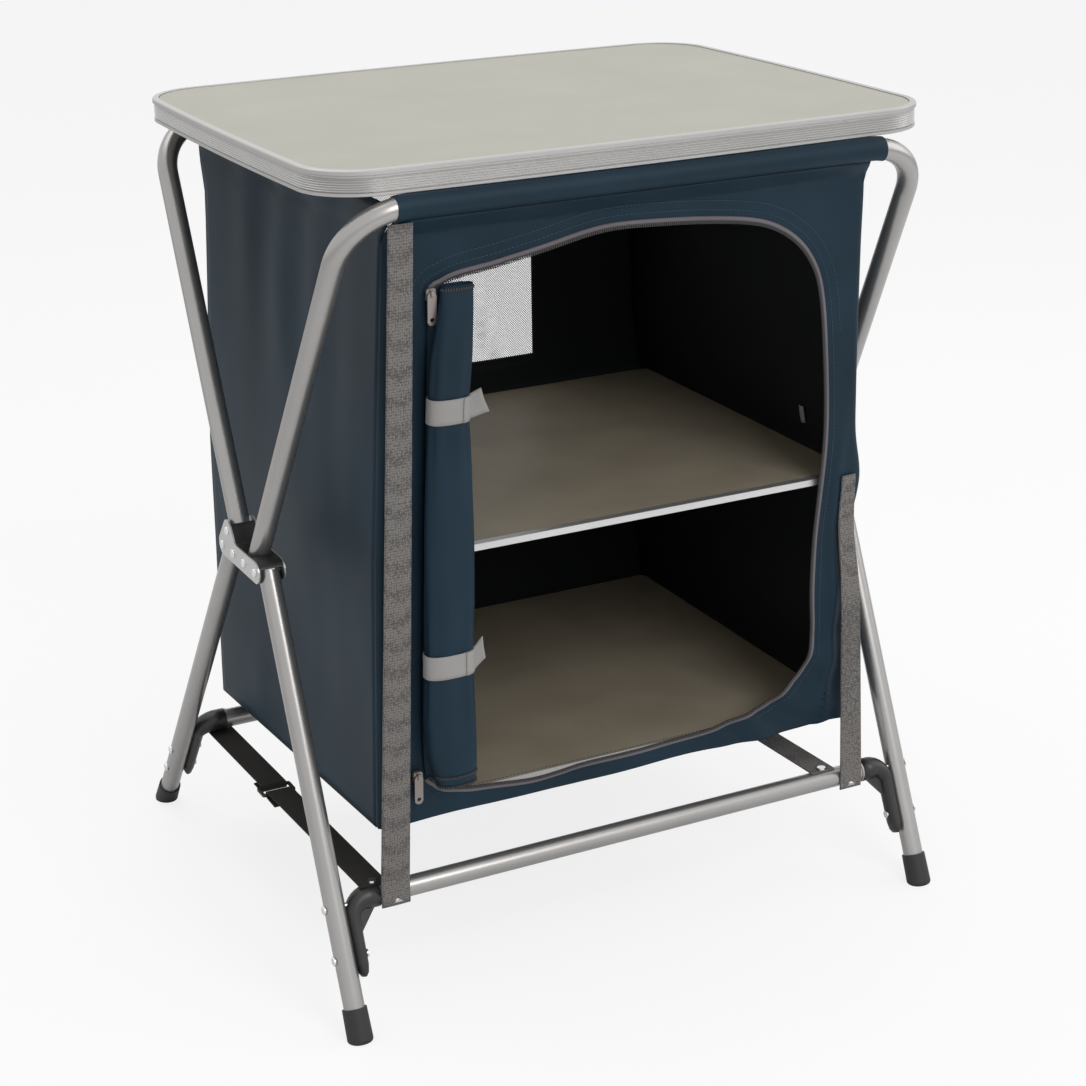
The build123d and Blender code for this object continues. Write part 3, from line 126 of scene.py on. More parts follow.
tube_paint = grained("grey_tube", TUBE_GREY, 0.3, 0.8)
dress(tube_paint, "rear_upper_tube", "front_upper_tube", "front_bottom_bar", "rear_bottom_bar")
dress(tube_paint, *(f"{corner}_leg" for corner in LEG_CORNERS))

# Hubs
# Two pressed plates either side of a moulded block, joined by steel rivets, let the tubes turn.
plate_steel = grained("hub_plate", (0.56, 0.56, 0.55), 0.36, 0.85)
black_plastic = grained("black_moulding", (0.018, 0.018, 0.019), 0.4, grain=1500.0)
rivet_steel = grained("rivet_metal", (0.78, 0.78, 0.78), 0.22, 1.0)
for side, _ in SIDES:
    dress(plate_steel, f"{side}_hub_outer_plate", f"{side}_hub_inner_plate")
    dress(black_plastic, f"{side}_hub_block")
    dress(rivet_steel, f"{side}_hub_rivets")

# Elbows and feet
# Each elbow is a moulded bend: a round socket on the bottom bar turns down into a flange that
# lies along the leg, held by rivets. Rubber caps close the legs.
SOCKET_START = 0.2702
SOCKET_RADIUS = 0.0116
BEND_START = 0.282
BEND_RADIUS = 0.0165
BEND_STEPS = 9
FLANGE_HALF = (0.0067, 0.0092)
FLANGE_STEPS = (0.4, 0.8, 0.93, 1.0)
FLANGE_THINNING = 0.12
FLANGE_TIP_GAP = 0.001
ROUNDED_END = ((0.72, 0.88), (0.35, 0.6))
ELBOW_RING = 28
RIB_OUTLINE = ((0.2745, 0.009), (0.2965, 0.009), (0.2965, 0.036))
RIB_HALF = 0.0018
SMALL_FACE = 4e-5


def make_object(name, verts, faces, mats, slots=None, flat_from=None):
    """Mesh object from lists; faces from flat_from on are shaded flat."""
    mesh = bpy.data.meshes.new(name)
    mesh.from_pydata([tuple(v) for v in verts], [], [tuple(f) for f in faces])
    for mat in mats:
        mesh.materials.append(mat)
    last_smooth = len(faces) if flat_from is None else flat_from
    for index, polygon in enumerate(mesh.polygons):
        polygon.use_smooth = index < last_smooth
        if slots is not None:
            polygon.material_index = slots[index]
    mesh.update()
    obj = bpy.data.objects.new(name, mesh)
    bpy.context.scene.collection.objects.link(obj)
    return obj


def ring_solid(rings, base=0):
    """Points and faces of a closed solid through rings of points."""
    cols = len(rings[0])
    faces = []
    for r in range(len(rings) - 1):
        for c in range(cols):
            n = (c + 1) % cols
            low = base + r * cols
            faces.append((low + c, low + n, low + cols + n, low + cols + c))
    faces.append(tuple(base + i for i in range(cols))[::-1])
    last = base + (len(rings) - 1) * cols
    faces.append(tuple(last + i for i in range(cols)))
    return [p for ring in rings for p in ring], faces


def outward(obj):
    """Turns a closed mesh's faces outward."""
    volume = sum(
        (obj.data.vertices[p.vertices[0]].co.dot(p.normal)) * p.area for p in obj.data.polygons
    )
    if volume < 0:
        obj.data.flip_normals()
    obj.data.update()


def elbow_bend(name, side, bar, foot, length, has_rib):
    """Pipe bend in the plane of the bar and its leg; side is -1 on the left."""
    down = np.array([0.0, foot[0] - bar[0], foot[1] - bar[1]])
    down /= np.linalg.norm(down)
    broad = np.array([0.0, down[2], -down[1]])
    across = np.array([float(side), 0.0, 0.0])
    start = np.array([0.0, *bar])
    stations = [(SOCKET_START, 0.0, 0.0, 0.0), (BEND_START, 0.0, 0.0, 0.0)]
    for step in range(1, BEND_STEPS + 1):
        turn = step / BEND_STEPS * math.pi / 2
        reach = BEND_START + BEND_RADIUS * math.sin(turn)
        stations.append((reach, BEND_RADIUS * (1 - math.cos(turn)), turn, step / BEND_STEPS))
    for step in FLANGE_STEPS:
        drop = BEND_RADIUS + (length - BEND_RADIUS) * step
        stations.append((BEND_START + BEND_RADIUS, drop, math.pi / 2, 1 + step))
    rings = []
    for x, drop, turn, share in stations:
        flat = min(1.0, share)
        thin = SOCKET_RADIUS + (FLANGE_HALF[0] - SOCKET_RADIUS) * flat
        wide = SOCKET_RADIUS + (FLANGE_HALF[1] - SOCKET_RADIUS) * flat
        if share > 1 + FLANGE_STEPS[1]:
            thin_share, wide_share = ROUNDED_END[0 if share < 2.0 else 1]
            thin *= thin_share
            wide *= wide_share
        elif share > 1.0:
            thin *= 1.0 - FLANGE_THINNING * (share - 1.0)
        centre = start + across * x + down * drop
        normal = across * math.sin(turn) - down * math.cos(turn)
        rings.append([
            centre + normal * thin * math.cos(a) + broad * wide * math.sin(a)
            for a in np.linspace(0, 2 * math.pi, ELBOW_RING, endpoint=False)
        ])
    verts, faces = ring_solid(rings)
    if has_rib:
        rib_sides = [
            [start + across * x + down * d + broad * RIB_HALF * s for x, d in RIB_OUTLINE] for s in (-1, 1)
        ]
        more, rib_faces = ring_solid(rib_sides, len(verts))
        verts = verts + more
        faces = faces + rib_faces
    obj = make_object(name, verts, faces, [black_plastic])
    for polygon in obj.data.polygons:
        polygon.use_smooth = len(polygon.vertices) == 4 and polygon.area < SMALL_FACE
    outward(obj)
    return obj


FRONT_LOW_BAR = (-0.23471, 0.117)
REAR_LOW_BAR = (0.19133, 0.126)
FOOT_Y = 0.2855
for end, bar, foot, has_rib in (
    ("front", FRONT_LOW_BAR, (-FOOT_Y, 0.0), True), ("rear", REAR_LOW_BAR, (FOOT_Y, 0.0), False)
):
    for side, sign in SIDES:
        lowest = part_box(f"{end}_{side}_elbow")[0][2]
        reach = (bar[1] - lowest) / (bar[1] / math.hypot(bar[0] - foot[0], bar[1]))
        bend = elbow_bend(f"{end}_{side}_bend", sign, bar, foot, reach - FLANGE_TIP_GAP, has_rib)
        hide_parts(f"{end}_{side}_elbow")
        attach(bend, f"{end}_lower_frame")
    dress(rivet_steel, f"{end}_elbow_rivets")
foot_rubber = grained("foot_rubber", (0.016, 0.016, 0.017), 0.6, grain=1200.0)
dress(foot_rubber, *(f"{corner}_foot_cap" for corner in LEG_CORNERS))

# Shelves
# Two laminate boards with soft tone changes and a fine grain; the middle one has a folded
# aluminium edge at the door, the base board a white edge strip.


def laminate(name, low, high, rough):
    mat, shader = new_finish(name, high, rough, specular=0.35)
    place = object_place(mat)
    two_tones(mat, shader, cloudy(mat, place, 11.0, 6.0), low, high)
    relief(mat, shader, cloudy(mat, place, 1400.0, 1.0), strength=0.05, distance=0.0003)
    return mat


shelf_laminate = laminate("shelf_laminate", (0.255, 0.220, 0.165), (0.315, 0.275, 0.21), 0.5)
edge_strip = grained("board_edge", (0.80, 0.80, 0.79), 0.5)
rim_metal = grained("rim_aluminium", (0.50, 0.495, 0.485), 0.36, 0.8, grain=1600.0)
shelf_edge_metal = grained("shelf_edge_aluminium", (0.62, 0.62, 0.62), 0.34, 0.8)
dress(shelf_laminate, "mid_shelf_board", "base_board")
dress(edge_strip, "base_front_edge")
dress(shelf_edge_metal, "mid_shelf_front_edge")

# Worktop
# A beige laminate panel lies in a ribbed aluminium rim, with two moulded locators under it
# that hook on the rear bar.
dress(laminate("top_laminate", (0.375, 0.365, 0.305), (0.405, 0.395, 0.335), 0.42), "tabletop_panel")
dress(rim_metal, "tabletop_rim")
dress(black_plastic, "tabletop_clips")
dress(rivet_steel, "clip_screws")

# Front wall
# Coated navy cloth hangs from the front bar down past the base board and bends round the
# board corners. The door's opening is cut in it, and folds gather at its lower right.
FRONT_BAR = (-0.281, 0.776)
FRONT_FOOT = 0.1765
LINE_LOW = 0.166
LINE_TOP = 0.746
HEM = 0.7640
SHELF = 0.446
SIDE_TOP = 0.775
HALF_AT_LOW, HALF_AT_SHELF, HALF_AT_LINE_TOP, HALF_AT_TOP = 0.2617, 0.2587, 0.247, 0.2405
RIGHT_SLACK = 0.0065
FRONT_Y_LOW, FRONT_Y_LINE_TOP, FRONT_Y_HEM = -0.224, -0.262, -0.2815
CORNER = 0.007
CLOTH = 0.0012
DOOR_STEP = 0.005
POINTS_PER_KNOT = 12
FRONT_RINGS = 17
DOOR_MIDDLE = np.array([-0.003, 0.464])
DOOR_POINTS = [
    (-0.2150, 0.250), (-0.2125, 0.460), (-0.2065, 0.672), (-0.1935, 0.7027), (-0.1381, 0.7125),
    (-0.0600, 0.7271), (-0.0100, 0.7310), (0.0621, 0.7260), (0.1260, 0.7164), (0.1650, 0.6964),
    (0.1887, 0.6674), (0.2000, 0.6318), (0.2074, 0.5710), (0.2120, 0.4990), (0.2098, 0.4369),
    (0.2072, 0.3842), (0.2076, 0.3301), (0.2112, 0.2760), (0.2030, 0.2445), (0.1809, 0.2245),
    (0.1541, 0.2100), (0.1168, 0.2025), (0.0934, 0.1982), (0.0498, 0.1962), (0.0135, 0.1945),
    (-0.0451, 0.1942), (-0.0720, 0.1916), (-0.1020, 0.1907), (-0.1430, 0.1955),
    (-0.1738, 0.1995), (-0.2040, 0.2115),
]
FRONT_TUBE_ACROSS = (0.0, 0.8774, 0.4799)


def lerp(a, b, t):
    return a + (b - a) * t


def smooth(edge0, edge1, value):
    """0 at edge0 and before it, 1 at edge1 and past it, with a soft start and end."""
    t = min(1.0, max(0.0, (value - edge0) / (edge1 - edge0)))
    return t * t * (3.0 - 2.0 * t)


def bell(value, centre, width):
    """1 at the centre, falling to nearly 0 two widths away."""
    return math.exp(-(((value - centre) / width) ** 2))


def half_width(z, right=False):
    """Half the cabinet's width; the right side is slacker between the boards."""
    if z < SHELF:
        half = lerp(HALF_AT_LOW, HALF_AT_SHELF, (z - LINE_LOW) / (SHELF - LINE_LOW))
    elif z < LINE_TOP:
        half = lerp(HALF_AT_SHELF, HALF_AT_LINE_TOP, (z - SHELF) / (LINE_TOP - SHELF))
    else:
        half = lerp(HALF_AT_LINE_TOP, HALF_AT_TOP, (z - LINE_TOP) / (SIDE_TOP - LINE_TOP))
    if right:
        half -= RIGHT_SLACK * smooth(0.20, 0.26, z) * (1.0 - bell(z, SHELF, 0.034))
    return half


def front_y(z):
    if z <= LINE_TOP:
        return lerp(FRONT_Y_LOW, FRONT_Y_LINE_TOP, (z - LINE_LOW) / (LINE_TOP - LINE_LOW))
    return lerp(FRONT_Y_LINE_TOP, FRONT_Y_HEM, min(1.0, (z - LINE_TOP) / (HEM - LINE_TOP)))


def front_folds(x, z):
    """How far the front wall stands out at a place: slack, folds down the low right edge, a fan of
    folds at the low right corner, ripples under the hem and along the bottom."""
    out = 0.0020 * noise.noise(Vector((x * 8.0, 3.1, z * 6.0)))
    low_right = smooth(0.56, 0.32, z) * smooth(0.205, 0.228, x)
    out += low_right * 0.0048 * bell(x, 0.230 + 0.004 * math.sin(z * 27.0), 0.006)
    out += 0.0022 * math.sin(z * 58.0 + 30.0 * x) * low_right
    out += 0.0024 * noise.noise(Vector((x * 26.0, 8.4, z * 13.0))) * low_right
    fan = math.atan2(z - 0.30, x - 0.06)
    corner = smooth(0.09, 0.17, x) * smooth(0.30, 0.22, z)
    out += 0.0030 * math.sin(fan * 19.0) * corner
    out += 0.0016 * math.sin(x * 57.0 + 3.0 * math.sin(z * 9.0)) * smooth(0.68, 0.74, z)
    out += 0.0014 * math.sin(x * 44.0 + 1.0) * smooth(0.20, 0.18, z)
    return max(-0.0015, out) * smooth(HEM, HEM - 0.014, z)


def front_point(x, z, lift=0.0):
    """A point of the front wall's outside; past the corner, x runs on round the bend."""
    sign = 1.0 if x > 0 else -1.0
    flat = half_width(z, x > 0) - CORNER
    over = max(0.0, abs(x) - flat)
    turn = min(math.pi / 2, over / CORNER)
    grown = CORNER + lift + front_folds(x, z) * math.cos(turn)
    if over == 0.0:
        return np.array([x, front_y(z) + CORNER - grown, z])
    return np.array([
        sign * (flat + grown * math.sin(turn)), front_y(z) + CORNER - grown * math.cos(turn), z
    ])


def spline_loop(points, samples):
    """Closed smooth line through points."""
    knots = np.array(points)
    line = []
    for i in range(len(knots)):
        a, b, c, d = (knots[(i + k) % len(knots)] for k in (-1, 0, 1, 2))
        for t in np.linspace(0, 1, samples, endpoint=False):
            line.append(0.5 * (
                2 * b + (c - a) * t + (2 * a - 5 * b + 4 * c - d) * t * t
                + (3 * b - a - 3 * c + d) * t ** 3
            ))
    return np.array(line)


def even_steps(line, step):
    """The same line with points at even distances."""
    lengths = np.concatenate([[0], np.cumsum(np.linalg.norm(np.diff(line, axis=0), axis=1))])
    wanted = np.linspace(0, lengths[-1], max(2, int(round(lengths[-1] / step))) + 1)
    return np.stack([np.interp(wanted, lengths, line[:, k]) for k in range(line.shape[1])], axis=1)


def cloth_sheet(name, grid, thickness, mats, facing, loop=False):
    """Closed thin sheet from a grid of points; the second material is on its inner side."""
    points = np.array(grid, dtype=float)
    rows, cols = points.shape[:2]
    if loop:
        across = np.roll(points, -1, axis=1) - np.roll(points, 1, axis=1)
    else:
        across = np.gradient(points, axis=1)
    normals = np.cross(np.gradient(points, axis=0), across)
    normals /= np.maximum(np.linalg.norm(normals, axis=2, keepdims=True), 1e-12)
    flipped = np.sum(normals * np.array(facing)) < 0
    if flipped:
        normals = -normals
    inner = points - normals * thickness
    verts = list(points.reshape(-1, 3)) + list(inner.reshape(-1, 3))
    count = rows * cols
    outer_faces = []
    inner_faces = []
    for r in range(rows - 1):
        for c in range(cols if loop else cols - 1):
            n = (c + 1) % cols
            quad = (r * cols + c, (r + 1) * cols + c, (r + 1) * cols + n, r * cols + n)
            quad = quad[::-1] if flipped else quad
            outer_faces.append(quad)
            inner_faces.append(tuple(i + count for i in quad[::-1]))
    first, last = (
        [r * cols + c for c in range(cols)] + ([r * cols] if loop else []) for r in (0, rows - 1)
    )
    rims = [(first, False), (last, True)]
    if not loop:
        rims += [([r * cols for r in range(rows)], True)]
        rims += [([r * cols + cols - 1 for r in range(rows)], False)]
    rim_faces = []
    for line, turn in rims:
        for a, b in zip(line[:-1], line[1:]):
            quad = (a, b, b + count, a + count)
            rim_faces.append(quad[::-1] if turn != flipped else quad)
    flat_from = len(outer_faces) + len(inner_faces)
    inner_slot = min(1, len(mats) - 1)
    slots = [0] * len(outer_faces) + [inner_slot] * len(inner_faces) + [0] * len(rim_faces)
    return make_object(name, verts, outer_faces + inner_faces + rim_faces, mats, slots, flat_from)


def arithmetic(mat, operation, *values):
    """Output of a maths node in the node tree of a material or a world."""
    node = mat.node_tree.nodes.new("ShaderNodeMath")
    node.operation = operation
    for index, value in enumerate(values):
        if isinstance(value, (int, float)):
            node.inputs[index].default_value = value
        else:
            mat.node_tree.links.new(value, node.inputs[index])
    return node.outputs[0]


def place_parts(mat, place):
    node = mat.node_tree.nodes.new("ShaderNodeSeparateXYZ")
    mat.node_tree.links.new(place, node.inputs[0])
    return node.outputs


def coated_cloth(name, low, high, rough, threads=5200.0):
    """Coated woven cloth: fine crossed threads and large soft tone changes."""
    mat, shader = new_finish(name, high, rough, specular=0.16)
    place = object_place(mat)
    two_tones(mat, shader, cloudy(mat, place, 7.0, 4.0), low, high)
    axes = place_parts(mat, place)
    weft = arithmetic(mat, "MULTIPLY", arithmetic(mat, "ADD", axes[0], axes[1]), threads)
    warp = arithmetic(mat, "MULTIPLY", axes[2], threads)
    weave = arithmetic(mat, "MULTIPLY", arithmetic(mat, "SINE", weft), arithmetic(mat, "SINE", warp))
    relief(mat, shader, weave, strength=0.12, distance=0.0003)
    return mat


def front_outline():
    """The front wall's outer edge, as points of its unrolled plane."""
    heights = np.concatenate([np.linspace(FRONT_FOOT, 0.70, 24), np.linspace(0.71, HEM, 8)])
    bend = CORNER * (math.pi / 2 - 1.0)
    left = [(-(half_width(z) + bend), z) for z in heights]
    right = [(half_width(z, True) + bend, z) for z in heights]
    floor = [(x, FRONT_FOOT + 0.0012 * math.sin(x * 30.0)) for x in np.linspace(0.24, -0.24, 24)]
    return left + right[::-1] + floor


FRONT_OUTLINE = front_outline()


def outer_edge(p):
    """Where the ray from the door's middle through p leaves the front wall."""
    ray = p - DOOR_MIDDLE
    best = None
    for i, start in enumerate(FRONT_OUTLINE):
        a = np.array(start)
        b = np.array(FRONT_OUTLINE[(i + 1) % len(FRONT_OUTLINE)])
        side_step = b - a
        cross = ray[0] * side_step[1] - ray[1] * side_step[0]
        if abs(cross) < 1e-9:
            continue
        gap = a - DOOR_MIDDLE
        t = (gap[0] * side_step[1] - gap[1] * side_step[0]) / cross
        u = (gap[0] * ray[1] - gap[1] * ray[0]) / cross
        if t > 0 and -1e-6 <= u <= 1 + 1e-6 and (best is None or t < best):
            best = t
    return DOOR_MIDDLE + ray * best


def fold_with_front(piece):
    """The piece rides on the front upper frame and gets a mesh of its own."""
    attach(piece, "front_upper_frame")
    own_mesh(piece)


navy_cloth = coated_cloth("cabinet_fabric", (0.0055, 0.0165, 0.0275), (0.0092, 0.0275, 0.0450), 0.5)
lining = coated_cloth("cabinet_lining", (0.005, 0.007, 0.007), (0.008, 0.010, 0.010), 0.7)
DOOR = even_steps(np.vstack([spline_loop(DOOR_POINTS, POINTS_PER_KNOT), [DOOR_POINTS[0]]]), DOOR_STEP)[:-1]
EDGE = [outer_edge(p) for p in DOOR]
front_rows = [
    [front_point(*lerp(p, q, share)) for p, q in zip(DOOR, EDGE)]
    for share in np.linspace(0.0, 1.0, FRONT_RINGS)
]
front_wall = cloth_sheet("front_wall", front_rows, CLOTH, [navy_cloth, lining], (0, -1, 0), loop=True)
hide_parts("fabric_front")
fold_with_front(front_wall)

# Zip
# A mauve grey tape is sewn round the opening from one slider to the other, with moulded teeth on
# its inner edge and two rows of stitches outside it. The pull tabs hinge on the sliders.
TAPE_HALF = 0.0022
TAPE_EDGES = (
    (-TAPE_HALF - 0.0004, 0.0002), (-TAPE_HALF, 0.0014), (TAPE_HALF, 0.0013), (TAPE_HALF + 0.001, 0.0002)
)
TAPE_THICKNESS = 0.0006
ZIP_STEP = 0.004
OPEN_LEFT = -0.2035
OPEN_FROM, OPEN_TO = 0.222, 0.690
TOOTH_STEP, TOOTH_SIZE = 0.0022, (0.0012, 0.0030, 0.0016)
STITCH_STEP, STITCH_SIZE = 0.0042, (0.0026, 0.0005, 0.0005)
STITCH_FLOOR = 0.20
SLIDER_SHIFTS = (("upper", 0.0085), ("lower", -0.0090))


def beside(line, distance):
    """A line moved outward; the door's line runs clockwise seen from the front."""
    along = np.gradient(line, axis=0)
    along /= np.linalg.norm(along, axis=1, keepdims=True)
    return line + np.stack([-along[:, 1], along[:, 0]], axis=1) * distance


def block_row_tree():
    """Sets small blocks at even steps along a line, turned with it and facing one way."""
    tree = bpy.data.node_groups.new("blocks_along_a_line", "GeometryNodeTree")
    for title, way, kind in (
        ("Line", "INPUT", "Geometry"), ("Spacing", "INPUT", "Float"), ("Block Size", "INPUT", "Vector"),
        ("Facing", "INPUT", "Vector"), ("Finish", "INPUT", "Material"), ("Blocks", "OUTPUT", "Geometry"),
    ):
        tree.interface.new_socket(title, in_out=way, socket_type=f"NodeSocket{kind}")
    given = tree.nodes.new("NodeGroupInput")
    result = tree.nodes.new("NodeGroupOutput")
    curve = tree.nodes.new("GeometryNodeMeshToCurve")
    steps = tree.nodes.new("GeometryNodeCurveToPoints")
    steps.mode = "LENGTH"
    block = tree.nodes.new("GeometryNodeMeshCube")
    along = tree.nodes.new("FunctionNodeAlignRotationToVector")
    along.axis = "X"
    face = tree.nodes.new("FunctionNodeAlignRotationToVector")
    face.axis = "Z"
    face.pivot_axis = "X"
    instances = tree.nodes.new("GeometryNodeInstanceOnPoints")
    real = tree.nodes.new("GeometryNodeRealizeInstances")
    finish = tree.nodes.new("GeometryNodeSetMaterial")
    for source, output, target, entry in (
        (given, "Line", curve, "Mesh"),
        (curve, "Curve", steps, "Curve"),
        (given, "Spacing", steps, "Length"),
        (given, "Block Size", block, "Size"),
        (steps, "Tangent", along, "Vector"),
        (along, "Rotation", face, "Rotation"),
        (given, "Facing", face, "Vector"),
        (steps, "Points", instances, "Points"),
        (block, "Mesh", instances, "Instance"),
        (face, "Rotation", instances, "Rotation"),
        (instances, "Instances", real, "Geometry"),
        (real, "Geometry", finish, "Geometry"),
        (given, "Finish", finish, "Material"),
        (finish, "Geometry", result, "Blocks"),
    ):
        tree.links.new(source.outputs[output], target.inputs[entry])
    return tree


BLOCK_ROWS = block_row_tree()


def block_rows(name, lines, spacing, size, facing, mat):
    """One plain mesh of blocks along lines of points."""
    verts = []
    edges = []
    for line in lines:
        edges += [(len(verts) + i, len(verts) + i + 1) for i in range(len(line) - 1)]
        verts += [tuple(p) for p in line]
    mesh = bpy.data.meshes.new(name)
    mesh.from_pydata(verts, edges, [])
    obj = bpy.data.objects.new(name, mesh)
    bpy.context.scene.collection.objects.link(obj)
    modifier = obj.modifiers.new("blocks", "NODES")
    modifier.node_group = BLOCK_ROWS
    wanted = {"Spacing": spacing, "Block Size": size, "Facing": facing, "Finish": mat}
    for item in BLOCK_ROWS.interface.items_tree:
        if item.in_out == "INPUT" and item.name in wanted:
            modifier[item.identifier] = wanted[item.name]
    obj.update_tag()
    solid = bpy.data.meshes.new_from_object(obj.evaluated_get(bpy.context.evaluated_depsgraph_get()))
    obj.modifiers.clear()
    obj.data = solid
    return obj


def zip_part():
    """The door's line from the upper slider clockwise to the lower one."""
    kept = [not (p[0] < OPEN_LEFT and OPEN_FROM < p[1] < OPEN_TO) for p in DOOR]
    first = next(i for i in range(len(kept)) if kept[i] and not kept[i - 1])
    order = [(first + i) % len(kept) for i in range(len(kept))]
    return even_steps(np.array([DOOR[i] for i in order if kept[i]]), ZIP_STEP)


ZIP_LINE = zip_part()
tape_cloth = coated_cloth("zip_tape", (0.115, 0.105, 0.115), (0.155, 0.142, 0.155), 0.7)
tape_rows = [
    [front_point(x, z, lift) for x, z in beside(ZIP_LINE, offset)] for offset, lift in TAPE_EDGES
]
zip_band = cloth_sheet("zip_band", tape_rows, TAPE_THICKNESS, [tape_cloth], (0, -1, 0))
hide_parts("zip_tape")
fold_with_front(zip_band)
tooth_plastic = grained("zip_teeth", (0.035, 0.034, 0.036), 0.45)
tooth_line = [front_point(x, z, 0.0018) for x, z in beside(ZIP_LINE, -TAPE_HALF)]
zip_teeth = block_rows("zip_teeth", [tooth_line], TOOTH_STEP, TOOTH_SIZE, (0, -1, 0), tooth_plastic)
fold_with_front(zip_teeth)
thread = grained("thread", (0.030, 0.062, 0.090), 0.8)
stitch_lines = []
for offset, low in ((0.0090, 0.0), (0.0175, 0.60)):
    run = [p for p in beside(ZIP_LINE, offset) if p[1] > max(low, STITCH_FLOOR)]
    stitch_lines.append([front_point(x, z, 0.0002) for x, z in run])
front_stitches = block_rows("front_stitches", stitch_lines, STITCH_STEP, STITCH_SIZE, (0, -1, 0), thread)
fold_with_front(front_stitches)
zip_metal = grained("zip_metal", (0.30, 0.265, 0.25), 0.34, 0.8)


def copy_of(node, name, mat, shift=0.0):
    """A separate copy of a CAD node's mesh, moved along X; the node itself is hidden. A separate
    copy of a CAD node's mesh, moved along X, that may bend where the node may not.
    """
    obj = bpy.data.objects.new(name, nodes[node].data.copy())
    obj.data.materials.clear()
    obj.data.materials.append(mat)
    obj.data.transform(Matrix.Translation((shift, 0.0, 0.0)))
    bpy.context.scene.collection.objects.link(obj)
    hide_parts(node)
    return obj


for level, shift in SLIDER_SHIFTS:
    for part, body in (("zip_slider", "front_upper_frame"), ("pull_tab", f"{level}_tab")):
        piece = copy_of(f"{level}_{part}", f"{level}_{part}_metal", zip_metal, shift)
        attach(piece, body)

# Rolled door
# The door's cloth leaves the wall at the opening's left edge, passes behind the roll and winds
# up in five turns. Two bands draw it in, and its top end is pressed flat. Each section of the
# roll is its height, the middle of its width, its width and its depth.
ROLL_SECTIONS = np.array([
    (0.2165, -0.1895, 0.0390, 0.0225), (0.2290, -0.1905, 0.0410, 0.0245), (0.2400, -0.1925, 0.0450, 0.0262),
    (0.2540, -0.1940, 0.0475, 0.0265), (0.2900, -0.1960, 0.0490, 0.0260),
    (0.3290, -0.1960, 0.0468, 0.0248), (0.3440, -0.1960, 0.0458, 0.0242), (0.3590, -0.1960, 0.0465, 0.0246),
    (0.4000, -0.1960, 0.0475, 0.0258), (0.4670, -0.1960, 0.0460, 0.0260), (0.5300, -0.1958, 0.0420, 0.0252),
    (0.5750, -0.1955, 0.0372, 0.0236), (0.5900, -0.1953, 0.0362, 0.0232), (0.6050, -0.1945, 0.0370, 0.0232),
    (0.6400, -0.1915, 0.0375, 0.0215), (0.6750, -0.1865, 0.0325, 0.0160), (0.7005, -0.1840, 0.0300, 0.0115),
])
ROLL_LOW, ROLL_HIGH = ROLL_SECTIONS[0, 0], ROLL_SECTIONS[-1, 0]
ROLL_ROWS = 94
ROLL_THICKNESS = 0.0009
ROLL_PITCH = 0.0019
COIL_SIZE = (0.0012, 0.0016, 0.0026)
COIL_HEIGHTS = (0.2185, 0.2290, 0.6975)
COIL_LIFT = 0.0006
ROLL_TURNS = 5
STEPS_PER_TURN = 44
ROLL_START = math.pi / 2 - 0.5
ROLL_SQUARENESS = 0.78
LOWER_BAND, UPPER_BAND = 0.344, 0.590
FLAP_HIDDEN = 0.006


def roll_point(angle, z, inward=0.0, creased=1.0):
    """A point of the roll at an angle round it (seen from above, 0 at +X), set in from its outside."""
    centre, width, depth = (np.interp(z, ROLL_SECTIONS[:, 0], ROLL_SECTIONS[:, k]) for k in (1, 2, 3))
    c = math.cos(angle)
    s = math.sin(angle)
    x = max(0.0008, width / 2 - inward) * math.copysign(abs(c) ** ROLL_SQUARENESS, c)
    y = max(0.0006, depth / 2 - inward) * math.copysign(abs(s) ** ROLL_SQUARENESS, s)
    crease = 0.0
    for band in (LOWER_BAND, UPPER_BAND):
        near = bell(z, band, 0.060) - bell(z, band, 0.014)
        crease += max(0.0, near) * 0.0012 * math.sin(angle * 7.0 + band * 40.0)
    crease += 0.0011 * noise.noise(Vector((c * 1.4, s * 1.4, z * 11.0 + 4.0)))
    scale = 1.0 + creased * crease / max(0.01, math.hypot(x, y))
    middle_y = front_y(z) - 0.0034 - depth / 2
    return np.array([centre + x * scale, middle_y + y * scale, z])


def door_row(z):
    """The door cloth's section at a height: flap behind the roll, then the spiral."""
    edge = np.interp(z, (0.21, 0.46, 0.69), (-0.2150, -0.2125, -0.2060))
    start = roll_point(ROLL_START, z, 0.0, 0.0)
    row = []
    for t in np.linspace(0, 1, 11):
        y = front_y(z) - lerp(-0.0020, 0.0030, smooth(0.0, 0.5, t))
        row.append(np.array([lerp(edge - FLAP_HIDDEN, start[0], t), y, z]))
    for step in range(1, ROLL_TURNS * STEPS_PER_TURN):
        turn = step / STEPS_PER_TURN
        row.append(roll_point(ROLL_START - turn * 2 * math.pi, z, ROLL_PITCH * turn))
    return row


door_rows = [door_row(z) for z in np.linspace(ROLL_LOW, ROLL_HIGH, ROLL_ROWS)]
door_roll = cloth_sheet("door_roll", door_rows, ROLL_THICKNESS, [navy_cloth], (0, -1, 0))
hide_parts("rolled_door")
fold_with_front(door_roll)
coil_angles = np.linspace(math.pi + 0.25, 2 * math.pi + 0.4, 60)
coil_lines = [[roll_point(a, z, -COIL_LIFT) for a in coil_angles] for z in COIL_HEIGHTS]
coil_ends = block_rows("door_zip_teeth", coil_lines, TOOTH_STEP, COIL_SIZE, (0, 0, 1), tooth_plastic)
fold_with_front(coil_ends)

